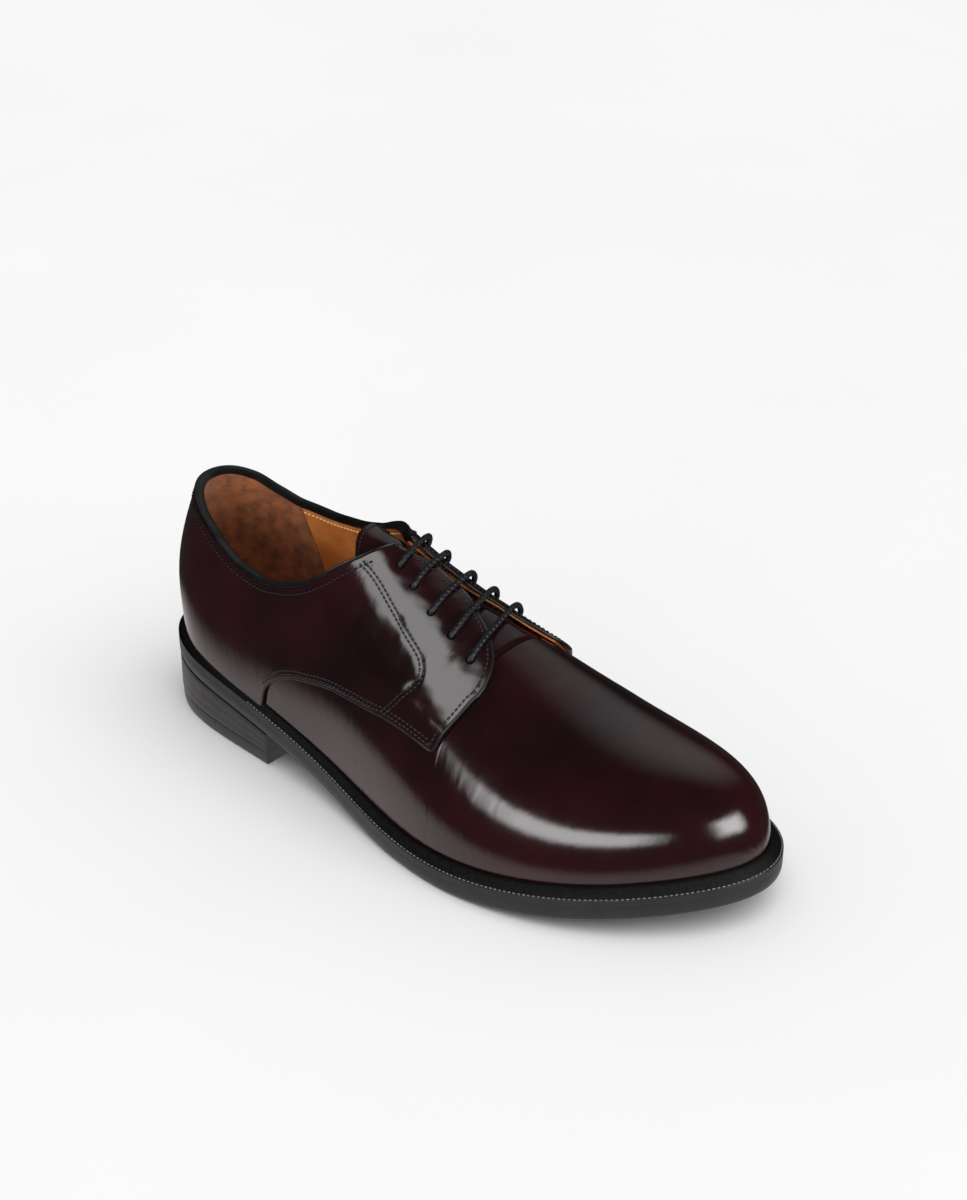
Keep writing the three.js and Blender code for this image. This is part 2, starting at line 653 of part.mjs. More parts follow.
function loopAroundHeel(to, count) {
  const inward = Array.from({ length: count }, (_, i) => ({ turn: mix(to, 0, i / count), side: -1 }));
  const outward = Array.from({ length: count }, (_, i) => ({ turn: mix(0, to, (i + 1) / count), side: 1 }));
  return [...inward, { turn: 0, side: -1 }, ...outward];
}

const BREAST_TURN = turnAt(HEEL_BREAST);
const NAILS = [[24, 0], [40, -17], [40, 17], [62, -14], [62, 14]];

function nailAt([x, y], radius, low, high) {
  const rod = new THREE.CylinderGeometry(radius, radius, high - low, 10);
  rod.rotateX(Math.PI / 2);
  return rod.translate(x * GRADE.x, y * GRADE.y, (low + high) / 2);
}

function nailTop(x) {
  return insoleTop(lastPoint(turnAt(x), -90).z) - 1;
}

function nailHoles() {
  const clear = NAIL_DIAMETER / 2 + FIT_GAP;
  return NAILS.map((nail) => nailAt(nail, clear, NAIL_TIP - FIT_GAP, nailTop(nail[0]) + 6));
}

function heelBox() {
  const reach = 400;
  const box = new THREE.BoxGeometry(reach, reach, reach);
  return box.translate(HEEL_BREAST * GRADE.x - reach / 2, 0, 0);
}

function addBottom() {
  const edgeRim = (turn, side) => rimPoint(turn, side, soleMargin(turn));
  const insoleRim = (turn, side) => rimPoint(turn, side, -insoleInset(turn));
  const fillerRim = (turn, side) => rimPoint(turn, side, -WELT_INNER - RIB_WIDTH - 2 * FIT_GAP);
  const ribOut = () => -WELT_INNER - FIT_GAP;
  const ribIn = () => -WELT_INNER - FIT_GAP - RIB_WIDTH;
  const fore = loopPast(BREAST_TURN + 0.002, 28);
  const heel = loopAroundHeel(BREAST_TURN - 0.002, 14);

  add('outsole', cut(layer(0, 1, 44, edgeRim, outsoleTop, outsoleBottom), nailHoles()), 'rubber');
  add('welt', strip(fore, soleMargin, () => -WELT_INNER, weltTop, weltBottom), 'welt');
  add('heel_rand', strip(heel, soleMargin, () => -WELT_INNER, weltTop, weltBottom), 'welt');
  add('insole', cut(layer(0, 1, 36, insoleRim, insoleTop, insoleBottom), nailHoles()), 'board');
  const sockTop = (z) => insoleTop(z) + FIT_GAP + SOCK_THICKNESS;
  add('sock_liner', layer(0, 1, 36, insoleRim, sockTop, (z) => insoleTop(z) + FIT_GAP), 'tan');
  add('insole_rib', strip(fore, ribOut, ribIn, fillerTop, weltBottom), 'cloth');
  add('cork_filler', layer(turnAt(140), 1, 22, fillerRim, fillerTop, weltBottom), 'cork');

  const shankRim = (turn, side) => {
    const middle = lastPoint(turn, -90);
    return new THREE.Vector3(middle.x, ridgeLine(turn) * GRADE.y + side * SHANK_WIDTH / 2, middle.z);
  };
  const shankBottom = (z) => fillerTop(z) - SHANK_THICKNESS;
  const shank = layer(turnAt(SHANK_BACK), turnAt(SHANK_FRONT), 14, shankRim, fillerTop, shankBottom);
  add('shank', cut(shank, nailHoles()), 'steel');

  const blockRim = (turn, side) => rimPoint(turn, side, soleMargin(turn) - HEEL_TAPER / 2);
  const liftRim = (turn, side) => rimPoint(turn, side, soleMargin(turn) - HEEL_TAPER);
  const blockTop = (z) => outsoleBottom(z) - FIT_GAP;
  const past = BREAST_TURN + 0.06;
  const block = layer(0, past, 22, blockRim, blockTop, () => TOP_LIFT_THICKNESS + FIT_GAP);
  add('heel_block', cut(keep(block, heelBox()), nailHoles()), 'rubber');
  const lift = layer(0, past, 22, liftRim, () => TOP_LIFT_THICKNESS, () => 0);
  add('top_lift', keep(lift, heelBox()), 'rubber');
  NAILS.forEach((nail, i) => {
    add(`heel_nail_${i + 1}`, nailAt(nail, NAIL_DIAMETER / 2, NAIL_TIP, nailTop(nail[0])), 'steel');
  });
}

// ---- Lace ------------------------------------------------------------------------------------
// The lace's route: [distance from the heel, lean, level], with level 1 over the facings,
// 0 in an eyelet and -1 under the lining. Each bar stands up a little over the inner facing's edge.
const LACE_ROUTE = [
  [151, -28, -1.1], [147, -26.5, -1.1], [144, -22, -1], [142.7, -17, -1], [142.5, -13.5, -0.7],
  [142.5, -13.5, 0], [142.5, -13.5, 0.7], [141.8, -8, 1.1], [140.6, 0, 1.2], [139.6, 8, 1.4],
  [138.6, 14, 1.5], [138.1, 18.5, 1.2], [138, 21.5, 0.6], [138, 21.5, 0], [138, 21.5, -0.7],
  [142, 28, -1], [150, 32, -1], [156, 31, -1], [158.5, 26, -0.7], [158.5, 26, 0], [158.5, 26, 0.6],
  [158.6, 22.5, 1.2], [159.2, 17, 1.5], [160.4, 10, 1.4], [162, 2, 1.2], [163.4, -5, 1.1],
  [164.6, -12, 1.1], [165.1, -17.5, 0.7], [165.1, -17.5, 0], [165.1, -17.5, -0.7], [168.5, -19.5, -1],
  [172.5, -20, -1], [176, -19.5, -0.7], [176, -19.5, 0], [176, -19.5, 0.7], [175.2, -14, 1.1],
  [173.8, -6, 1.1], [171.8, 3, 1.2], [169.8, 12, 1.4], [168.3, 20, 1.5], [167.6, 26, 1.2],
  [167.5, 29.5, 0.6], [167.5, 29.5, 0], [167.5, 29.5, -0.7], [165, 23, -1], [159, 19, -1],
  [153, 19.5, -1], [149.5, 23.5, -0.7], [149.5, 23.5, 0], [149.5, 23.5, 0.6], [149.6, 20, 1.2],
  [150, 15, 1.5], [150.8, 9, 1.4], [151.8, 1, 1.2], [152.8, -6, 1.1], [153.5, -12, 1.1],
  [153.8, -16.5, 0.7], [153.8, -16.5, 0], [153.8, -16.5, -0.7], [150, -12, -1], [143, -9.5, -1],
  [137, -9.7, -1.2], [133.4, -11, -0.85], [133.4, -11, 0], [133.4, -11, 0.7], [132.6, -5, 1.1],
  [131.4, 2, 1.2], [130.2, 9, 1.4], [129.4, 14, 1.5], [129, 17.5, 1.2], [129, 20, 0.6],
  [129, 20, 0], [129, 20, -0.85], [130, 27, -1.2], [134, 34, -1], [140, 38, -1.1], [146, 40, -1.2],
];

const AGLET_TIPS = { outer: [167, -29, -1], inner: [162, 45, -1.2] };

function lacePoint([x, lean, level]) {
  const over = quarterOuter(x) + FIT_GAP + 0.2 + LACE_DIAMETER / 2;
  const middle = (quarterOuter(x) + liningInner(x)) / 2;
  const offset = level > 0 ? mix(middle, over, level) : mix(middle, laceUnder(x), -level);
  return onLast(turnAt(x), lean, offset, Math.sign(lean));
}

function tube(points, diameter, sides) {
  const path = new THREE.CatmullRomCurve3(points);
  path.getPointAt = (t, target) => path.getPoint(t, target);
  path.getTangentAt = (t, target) => path.getTangent(t, target);
  const section = new THREE.Shape(Array.from({ length: sides }, (_, i) => {
    const angle = 2 * Math.PI * i / sides;
    return new THREE.Vector2(Math.cos(angle), Math.sin(angle)).multiplyScalar(diameter / 2);
  }));
  const geometry = new THREE.ExtrudeGeometry(section, { steps: points.length - 1, extrudePath: path });
  geometry.deleteAttribute('normal');
  geometry.deleteAttribute('uv');
  return mergeVertices(geometry, 1e-4);
}

function addLace() {
  const points = LACE_ROUTE.map(lacePoint);
  add('lace', tube(points, LACE_DIAMETER, 8), 'lace');
  const ends = [
    { name: 'outer', start: points[0] },
    { name: 'inner', start: points[points.length - 1] },
  ];
  for (const { name, start } of ends) {
    const along = lacePoint(AGLET_TIPS[name]).sub(start).normalize();
    const from = start.clone().addScaledVector(along, FIT_GAP);
    const to = from.clone().addScaledVector(along, AGLET_LENGTH);
    add(`aglet_${name}`, tube([from, from.clone().lerp(to, 0.5), to], AGLET_DIAMETER, 8), 'steel');
  }
}

addBottom();
addVamp();
addQuarters();
addBackStrip();
addBinding();
addTongue();
addHeelGrip();
addCounter();
addQuarterLinings();
addStays();
addVampLining();
addToePuff();
addEyelets();
addLace();

// The origin is under the middle of the sole, on the ground.
const bounds = new THREE.Box3().setFromObject(shoe);
const middle = bounds.getCenter(new THREE.Vector3());
for (const mesh of shoe.children) mesh.geometry.translate(-middle.x, -middle.y, -bounds.min.z);

export default shoe;
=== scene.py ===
# A man's laced leather shoe with open facings, right foot: its looks, built around the CAD model.
# The shoe is in millimetres on its last and turned to metres where a mesh is made. The stage and the
# lights are in metres.
import json
import math

import bmesh
import bpy
import numpy as np
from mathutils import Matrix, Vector

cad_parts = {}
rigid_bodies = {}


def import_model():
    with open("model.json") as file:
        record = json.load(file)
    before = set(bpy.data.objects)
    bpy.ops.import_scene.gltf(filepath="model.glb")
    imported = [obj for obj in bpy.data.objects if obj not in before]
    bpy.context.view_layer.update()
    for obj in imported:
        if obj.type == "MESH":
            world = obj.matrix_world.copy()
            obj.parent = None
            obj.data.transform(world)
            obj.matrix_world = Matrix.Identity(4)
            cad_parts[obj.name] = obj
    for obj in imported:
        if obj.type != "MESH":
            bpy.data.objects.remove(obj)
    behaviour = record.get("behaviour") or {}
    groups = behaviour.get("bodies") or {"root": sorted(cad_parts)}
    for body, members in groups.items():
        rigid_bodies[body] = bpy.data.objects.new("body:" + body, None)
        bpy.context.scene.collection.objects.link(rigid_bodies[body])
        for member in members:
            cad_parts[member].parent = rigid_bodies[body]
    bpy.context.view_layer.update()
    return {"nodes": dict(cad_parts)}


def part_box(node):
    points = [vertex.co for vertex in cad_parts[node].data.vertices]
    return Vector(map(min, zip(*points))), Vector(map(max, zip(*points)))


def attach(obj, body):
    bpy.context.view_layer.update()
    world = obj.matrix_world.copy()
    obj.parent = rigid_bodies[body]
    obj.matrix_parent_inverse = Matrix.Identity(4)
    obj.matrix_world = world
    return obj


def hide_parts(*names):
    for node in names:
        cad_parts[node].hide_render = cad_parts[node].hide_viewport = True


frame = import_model()
MM = 0.001
SIDES = (("outer", -1), ("inner", 1))


# ---- The last, as the CAD model draws it ----
LAST_BACK = 6.0
LAST_TIP = 293.5
BACK_CURVE_REACH = 75     # how far forward the curve of the heel's back is felt
BACK_CURVE_FOOT = 36
BACK_CURVE_SPAN = 62
FEATHER = 90              # lean of the feather edge, in degrees
WALL_LEAN = 10            # the last's wall drops by WALL_DROP over this lean past the feather
WALL_DROP = 3.0
HEEL_MARGIN = 4.6
TURN_STEP = 0.002
LEAN_STEP = 0.6


def curve_through(x, y, slopes):
    def curve(at):
        t = np.clip(at, x[0], x[-1])
        i = np.clip(np.searchsorted(x, t, side="left") - 1, 0, len(x) - 2)
        h = x[i + 1] - x[i]
        s = (t - x[i]) / h
        return (y[i] * (1 + 2 * s) * (1 - s) ** 2 + slopes[i] * h * s * (1 - s) ** 2
                + y[i + 1] * s * s * (3 - 2 * s) - slopes[i + 1] * h * s * s * (1 - s))
    return curve


def smooth(knots, values, level_start=False, level_end=False):
    """A cubic spline through its points, level at an end where asked."""
    x = np.array(knots, float)
    y = np.array(values, float)
    h = np.diff(x)
    rise = np.diff(y) / h
    system = np.eye(len(x))
    right = np.zeros(len(x))
    for i in range(1, len(x) - 1):
        system[i, i - 1:i + 2] = [1 / h[i - 1], 2 / h[i - 1] + 2 / h[i], 1 / h[i]]
        right[i] = 3 * (rise[i - 1] / h[i - 1] + rise[i] / h[i])
    if not level_start:
        system[0, :2] = [2, 1]
        right[0] = 3 * rise[0]
    if not level_end:
        system[-1, -2:] = [1, 2]
        right[-1] = 3 * rise[-1]
    return curve_through(x, y, np.linalg.solve(system, right))


def edge(points):
    """A curve through its points that never swings past them, for cut edges with sharp turns."""
    x, y = np.array(points, float).T
    slopes = np.zeros(len(x))
    rise = np.diff(y) / np.diff(x)
    for i in range(1, len(x) - 1):
        if rise[i - 1] * rise[i] > 0:
            slopes[i] = 2 * rise[i - 1] * rise[i] / (rise[i - 1] + rise[i])
    return curve_through(x, y, slopes)


def mix(a, b, t):
    return a + (b - a) * t


def ramp(x, start, end):
    t = np.clip((x - start) / (end - start), 0, 1)
    return t * t * (3 - 2 * t)


STATIONS = np.array([0, 0.07, 0.17, 0.27, 0.40, 0.53, 0.65, 0.77, 0.88, 0.96, 1])
TURNS = np.arccos(1 - 2 * STATIONS) / math.pi
outer_fullness = smooth(TURNS, [53, 50, 43.5, 40, 40, 47.5, 57, 64, 66.5, 62.5, 57])
inner_fullness = smooth(TURNS, [53, 48.5, 40.5, 32, 26, 32, 44.5, 51, 53, 54, 57])
ridge_line = smooth(TURNS, [0, 0, 0, -0.5, -1.5, -1, 1.5, 5.5, 8.8, 10, 10.2], True, True)
feather_height = smooth(TURNS, [36, 34.5, 31.5, 27, 19.5, 13, 12.3, 15.3, 20, 23.5, 25], True, True)
arch_height = smooth(TURNS, [90, 91, 92, 92, 88.5, 76.5, 60.5, 45.5, 35.5, 25, 0], True)
outer_squareness = smooth(TURNS, [2.1, 2.1, 2.15, 2.2, 2.25, 2.25, 2.2, 2.2, 2.25, 2.2, 2.1])
inner_squareness = smooth(TURNS, [2.1, 2.1, 2.15, 2.3, 2.5, 2.5, 2.4, 2.35, 2.3, 2.2, 2.1])
back_curve = smooth([-0.2, 0, 0.35, 0.7, 1, 1.5], [0, 0, -2.3, 1.5, 8.5, 22])
sole_margin = smooth([0, 0.2, 0.38, 0.55, 0.75, 1], [HEEL_MARGIN, 3.4, 2.8, 4.6, 5.4, 5.2], True, True)


def turn_at(x):
    share = np.clip((np.asarray(x, float) - LAST_BACK) / (LAST_TIP - LAST_BACK), 0, 1)
    return np.arccos(1 - 2 * share) / math.pi


def turn_place(turn):
    return LAST_BACK + (LAST_TIP - LAST_BACK) * (1 - np.cos(math.pi * turn)) / 2


def last_point(turn, lean):
    """Points of the last, in mm from its heel: lean 0 is the ridge, -90 and 90 the feather edges."""
    side = np.where(lean < 0, -1.0, 1.0)
    rise = np.radians(np.maximum(FEATHER - np.abs(lean), 0))
    margin = np.maximum(np.abs(lean) - FEATHER, 0) / WALL_LEAN
    square = np.where(side < 0, outer_squareness(turn), inner_squareness(turn))
    fullness = np.where(side < 0, outer_fullness(turn), inner_fullness(turn))
    reach = np.maximum(np.cos(rise), 0) ** (2 / square)
    height = np.sin(rise) ** (2 / square)
    z = feather_height(turn) + arch_height(turn) * height
    x = turn_place(turn)
    y = ridge_line(turn) + side * np.sin(math.pi * turn) * fullness * reach
    fade = np.clip(1 - (x - LAST_BACK) / BACK_CURVE_REACH, 0, 1) ** 2
    back = back_curve((z - BACK_CURVE_FOOT) / BACK_CURVE_SPAN) * fade
    return np.stack([x + back, y, z - margin * WALL_DROP], -1)


def unit(vectors):
    return vectors / (np.linalg.norm(vectors, axis=-1, keepdims=True) + 1e-12)


def towards_toe(turn, lean):
    ahead = last_point(np.minimum(turn + TURN_STEP, 1), lean)
    return ahead - last_point(np.maximum(turn - TURN_STEP, 0), lean)


def last_frame(turn, lean):
    """The outward direction, and the direction up towards the ridge, at points of the last."""
    turn, lean = np.broadcast_arrays(np.asarray(turn, float), np.asarray(lean, float))
    bounded = np.clip(lean, -FEATHER, FEATHER)
    low = np.maximum(bounded - LEAN_STEP, -FEATHER)
    high = np.minimum(bounded + LEAN_STEP, FEATHER)
    across = last_point(turn, high) - last_point(turn, low)
    normal = np.cross(towards_toe(turn, bounded), across)
    normal[turn > 0.9999] = [1, 0, 0]
    up = across * np.where(lean < 0, 1.0, -1.0)[..., None]
    return unit(normal), unit(up)


def on_last(turn, lean, offset):
    turn, lean, offset = np.broadcast_arrays(turn, lean, offset)
    normal, _ = last_frame(turn, lean)
    return last_point(turn, lean) + normal * offset[..., None]


def rim_point(turn, side, out):
    """A point of the sole's rim, a distance out from the feather edge, seen from above."""
    turn, side = np.broadcast_arrays(np.asarray(turn, float), np.asarray(side, float))
    along = towards_toe(turn, side * FEATHER)
    away = unit(np.stack([-along[..., 1], along[..., 0], np.zeros_like(turn)], -1) * side[..., None])
    away[turn < 1e-6] = [-1, 0, 0]
    away[turn > 1 - 1e-6] = [1, 0, 0]
    return last_point(turn, side * FEATHER) + away * np.asarray(out)[..., None]


def rim_ring(turn, side, out, height):
    ring = rim_point(turn, side, out)
    ring[..., 2] = height
    return ring


# The last's own zero is moved to the CAD frame's, found from the outsole.
SOLE_LOW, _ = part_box("outsole")
SPREAD = np.linspace(0, 1, 400)
OUTER_RIM = rim_point(SPREAD, -1, sole_margin(SPREAD))
SHIFT = np.array([
    SOLE_LOW.x / MM - (LAST_BACK - HEEL_MARGIN), SOLE_LOW.y / MM - OUTER_RIM[:, 1].min(), 0.0])


def to_frame(points):
    """Last millimetres to frame metres."""
    return (np.asarray(points, float) + SHIFT) * MM


# ---- Camera ----
CAMERA_AZIMUTH = math.radians(40.27)
CAMERA_ELEVATION = math.radians(28.91)
CAMERA_DISTANCE = 1088.8
CAMERA_TARGET = np.array([57.6, 128.9, 0])
FOCAL_LENGTH = 69.4
SENSOR = 36.0


def add_camera():
    back = np.array([
        math.sin(CAMERA_AZIMUTH) * math.cos(CAMERA_ELEVATION),
        -math.cos(CAMERA_AZIMUTH) * math.cos(CAMERA_ELEVATION),
        math.sin(CAMERA_ELEVATION),
    ])
    data = bpy.data.cameras.new("camera")
    data.lens = FOCAL_LENGTH
    data.sensor_width = SENSOR
    data.sensor_fit = "AUTO"
    camera = bpy.data.objects.new("camera", data)
    camera.location = to_frame(CAMERA_TARGET + back * CAMERA_DISTANCE)
    camera.rotation_euler = Vector(back).to_track_quat("Z", "Y").to_euler()
    bpy.context.collection.objects.link(camera)
    bpy.context.scene.camera = camera


# ---- Meshes ----
def make_mesh(name, points, faces, finish, replaces=(), body="shoe", sharp=35, merge=True):
    """A piece from points in last millimetres, riding on its CAD body. finish is a material and a slot; the
    slot is not used.
    """
    material, slot = finish
    mesh = bpy.data.meshes.new(name)
    mesh.from_pydata(to_frame(points).tolist(), [], [list(f) for f in faces])
    if merge:
        tidy(mesh)
    mesh.shade_smooth()
    mesh.set_sharp_from_angle(angle=math.radians(sharp))
    mesh.materials.append(material)
    piece = bpy.data.objects.new(name, mesh)
    bpy.context.collection.objects.link(piece)
    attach(piece, body)
    if replaces:
        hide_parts(*replaces)
    return piece


def tidy(mesh):
    """Joins points that meet, drops faces with no area and turns all faces outwards."""
    work = bmesh.new()
    work.from_mesh(mesh)
    bmesh.ops.remove_doubles(work, verts=work.verts, dist=2e-6)
    bmesh.ops.dissolve_degenerate(work, edges=work.edges, dist=1e-7)
    bmesh.ops.recalc_face_normals(work, faces=work.faces)
    work.to_mesh(mesh)
    work.free()


def sheet(name, outer, inner, finish, replaces=(), body="shoe"):
    """A sheet from the grids of points of its two faces, with a rim between them."""
    index = np.arange(outer[..., 0].size).reshape(outer.shape[:2])
    front = np.stack([index[:-1, :-1], index[1:, :-1], index[1:, 1:], index[:-1, 1:]], -1).reshape(-1, 4)
    loop = np.concatenate([index[0], index[1:, -1], index[-1, -2::-1], index[-2:0:-1, 0]])
    following = np.roll(loop, -1)
    rim = np.stack([loop, following, following + index.size, loop + index.size], -1)
    points = np.concatenate([outer.reshape(-1, 3), inner.reshape(-1, 3)])
    faces = np.concatenate([front, front[:, ::-1] + index.size, rim])
    return make_mesh(name, points, faces, finish, replaces, body)


def spaced(count, rim):
    """Shares from 0 to 1, close together over a rounded rim at both ends."""
    inside = np.linspace(rim, 1 - rim, count)
    start = rim * np.array([0, 0.12, 0.35, 0.65])
    return np.concatenate([start, inside, 1 - start[::-1]])


def rim_drop(share, rim):
    """How far a rounded rim has fallen away, 1 at the very edge."""
    inside = np.clip(np.minimum(share, 1 - share) / rim, 0, 1)
    return 1 - np.sqrt(np.maximum(1 - (1 - inside) ** 2, 0))


def leather_sheet(name, place, outer, inner, along, across, finish, replaces=(), body="shoe",
                  rims=(0.01, 0.01), roundness=0.5, round_inner=0.15):
    """A sheet on the last with rounded cut edges. place(a, b) gives turn and lean; outer and inner
    give its two faces' distances from the last."""
    a, b = np.meshgrid(spaced(along, rims[0]), spaced(across, rims[1]), indexing="ij")
    turn, lean = place(a, b)
    x = turn_place(turn)
    top = outer(x, lean)
    bottom = inner(x, lean)
    drop = np.maximum(rim_drop(a, rims[0]), rim_drop(b, rims[1])) * (top - bottom)
    return sheet(name, on_last(turn, lean, top - drop * roundness),
                 on_last(turn, lean, bottom + drop * round_inner), finish, replaces, body)


def loft(name, rings, finish, replaces=(), closed=False, sharp=35):
    """A closed body through rings of the same number of points."""
    count, size = rings.shape[:2]
    index = np.arange(count * size).reshape(count, size)
    start = index if closed else index[:-1]
    following = np.roll(index, -1, axis=0)[:len(start)]
    faces = np.stack([start, following, np.roll(following, -1, axis=1), np.roll(start, -1, axis=1)], -1)
    faces = faces.reshape(-1, 4).tolist()
    if not closed:
        faces += [index[0, ::-1].tolist(), index[-1].tolist()]
    return make_mesh(name, rings.reshape(-1, 3), faces, finish, replaces, sharp=sharp)


def ring_angles(sides):
    return 2 * math.pi * np.arange(sides) / sides


def tube(path, across, up, radius, angle):
    """Rings of points round a path. radius has a row for each ring."""
    spokes = np.cos(angle)[:, None] * across[:, None] + np.sin(angle)[:, None] * up[:, None]
    return path[:, None] + radius[..., None] * spokes


def raised(face, height):
    return lambda x, lean: face(x, lean) + height


def value_at(curve, x):
    return curve(x) if callable(curve) else curve


def between(start, end, low, high, spread=None):
    """Places on one side of the last: a runs from start to end, b from low to high. Each of those is a
    number or a curve."""
    def place(a, b):
        share = a if spread is None else spread(a)
        turn = mix(turn_at(value_at(start, b)), turn_at(end), share)
        x = turn_place(turn)
        return turn, mix(value_at(low, x), value_at(high, x), b)
    return place


def around_heel(end, low, high):
    """Places round the back of the last, from the outer side to the inner one."""
    def place(a, b):
        side = np.where(a < 0.5, -1.0, 1.0)
        turn = turn_at(value_at(end, b)) * np.abs(2 * a - 1)
        x = turn_place(turn)
        return turn, mix(low(x, side), high(x, side), b)
    return place


def towards_front(a):
    return np.sin(a * math.pi / 2)


def distance_along(points, power=1):
    """How far along its line each point lies, with each step raised to a power."""
    steps = np.linalg.norm(np.diff(points, axis=0), axis=1) ** power
    return np.concatenate([[0], np.cumsum(steps)])


def resample(points, pitch):
    """Points a pitch apart along a polyline."""
    run = distance_along(points)
    count = max(int(round(run[-1] / pitch)), 2)
    at = np.linspace(0, run[-1], count + 1)
    return np.stack([np.interp(at, run, column) for column in points.T], -1)


def line_on_last(points, count=400):
    """A smooth line through (distance from the heel, lean) points."""
    points = np.array(points, float)
    run = distance_along(points * [1, 0.8])
    at = np.linspace(0, run[-1], count)
    return smooth(run, points[:, 0])(at), smooth(run, points[:, 1])(at)


# ---- Colours and materials ----
def colour(code):
    """An sRGB hex colour as linear red, green, blue and alpha."""
    parts = [int(code[i:i + 2], 16) / 255 for i in (1, 3, 5)]
    linear = [p / 12.92 if p <= 0.04045 else ((p + 0.055) / 1.055) ** 2.4 for p in parts]
    return (*linear, 1.0)


def node(owner, kind, inputs=None, stops=(), output=0, **settings):
    """Adds a shader node with its settings, its colour stops, its input values and its links, and gives
    back one of its outputs."""
    made = owner.node_tree.nodes.new("ShaderNode" + kind)
    for key, value in settings.items():
        setattr(made, key, value)
    for index, (position, code) in enumerate(stops):
        made.color_ramp.elements[index].position = position
        made.color_ramp.elements[index].color = colour(code)
    for key, value in (inputs or {}).items():
        if isinstance(value, bpy.types.NodeSocket):
            owner.node_tree.links.new(value, made.inputs[key])
        else:
            made.inputs[key].default_value = value
    return made.outputs[output] if len(made.outputs) else None


def empty_tree(owner):
    """Turns on the nodes of a material, a light or a world, and clears the ones it starts with."""
    owner.use_nodes = True
    owner.node_tree.nodes.clear()
    return owner


def surface(name, tone, gloss=None, grain=(), coat_grain=(), **sockets):
    """A material whose colour, gloss and grain each vary with a noise of their own. The size of a noise
    is in millimetres, one number, or three where it runs one way. tone is (size, dark, light), gloss is
    (size, smooth, rough), and each layer of grain is (size, depth in millimetres, strength). The other
    values are the same all over, and go on the shader's own sockets."""
    material = empty_tree(bpy.data.materials.new(name))
    place = node(material, "TexCoord", output="Object")
    noises = {}
    for size in [layer[0] for layer in (tone, gloss or tone, *grain, *coat_grain)]:
        scale = 1 / (MM * np.broadcast_to(size, 3))
        scaled = node(material, "Mapping", {"Vector": place, "Scale": scale})
        noises[size] = node(material, "TexNoise", {
            "Vector": scaled, "Scale": 1, "Detail": 4, "Roughness": 0.55})
    inputs = {key.replace("_", " "): value for key, value in sockets.items()}
    size, dark, light = tone
    inputs["Base Color"] = node(material, "ValToRGB", {"Fac": noises[size]},
                                stops=((0.33, dark), (0.67, light)))
    if gloss:
        size, smooth_part, rough_part = gloss
        inputs["Roughness"] = node(material, "MapRange", {
            "Value": noises[size], "To Min": smooth_part, "To Max": rough_part})
    for socket, layers in (("Normal", grain), ("Coat Normal", coat_grain)):
        below = {}
        for size, depth, strength in layers:
            bumped = {"Height": noises[size], "Distance": depth * MM, "Strength": strength, **below}
            inputs[socket] = node(material, "Bump", bumped)
            below = {"Normal": inputs[socket]}
    shader = node(material, "BsdfPrincipled", inputs)
    node(material, "OutputMaterial", {"Surface": shader})
    return material


def polished_calf():
    # Calf brushed with oxblood polish to a mirror: a dark red body under a clear wax film, cloudy
    # where the polish lies thicker, with the fine pores still breaking the edge of each reflection.
    ripple = (3.2, 9.6, 9.6)
    return surface(
        "polished_oxblood_calf", (55, "#0f0607", "#220a0d"), (9, 0.1, 0.2),
        grain=((0.6, 0.008, 0.5), (ripple, 0.1, 0.8)), coat_grain=((ripple, 0.09, 0.7),),
        Coat_Weight=0.4, Coat_Roughness=0.05, IOR=1.5)


def bound_leather():
    # Thin black skived leather folded over an edge: satin, with a light grain.
    return surface("black_binding_leather", (6, "#060607", "#0f0f11"), grain=((0.45, 0.06, 0.5),),
                   Roughness=0.36, IOR=1.5)


def lining_leather():
    # Vegetable tanned lining: a warm tan, smooth and matt, darker where it is handled.
    return surface("tan_lining_leather", (14, "#8f4e20", "#ad682e"), (5, 0.45, 0.65),
                   grain=((0.5, 0.05, 0.5),), IOR=1.45)


def suede_leather():
    # Suede heel grip: the nap lies in brushed patches, lighter and darker, and shows no gloss.
    return surface("brown_suede", (5, "#693b20", "#9a5a31"), grain=((0.35, 0.15, 0.7),),
                   Roughness=0.95, IOR=1.4, Sheen_Weight=0.2)


def welt_leather():
    # Blackened welt, wheeled and waxed: a rough black strip that glints on its ribs.
    return surface("blackened_welt", (1.3, "#030304", "#0b0b0c"), (0.9, 0.35, 0.7),
                   grain=((0.6, 0.25, 0.8),), IOR=1.4, Specular_IOR_Level=0.3)


def sole_rubber():
    # Moulded rubber with a buffed edge: dark grey, satin, with faint lines from the trimming wheel.
    return surface("dark_grey_rubber", (12, "#111213", "#17181a"), (4, 0.38, 0.52),
                   grain=((0.4, 0.02, 0.5), ((30, 30, 0.6), 0.03, 0.5)), IOR=1.5)


def waxed_cord():
    # Round waxed cotton lace: black with a blue cast, each braided strand catching a soft glint.
    return surface("waxed_black_cord", (1.2, "#090b10", "#1a1d24"), (2, 0.34, 0.55),
                   grain=((0.3, 0.08, 0.6),), IOR=1.5)


def thread(name, dark, light):
    # Waxed sewing thread: two plies twisted together, a little shiny on top.
    return surface(name, (0.5, dark, light), grain=((0.2, 0.05, 0.6),), Roughness=0.42, IOR=1.5)


def brushed_metal(name, dark, light, smooth_part, rough_part):
    # Bare metal with the fine scratches of handling, which run one way.
    scratches = (0.8, 6.4, 0.8)
    return surface(name, (scratches, dark, light), (scratches, smooth_part, rough_part), Metallic=1.0)


def fibre_board(name, dark, light, flake):
    # Pressed fibre or ground cork: matt, speckled at the size of its flakes.
    return surface(name, (flake, dark, light), grain=((flake / 2, 0.1, 0.6),), Roughness=0.88, IOR=1.4)


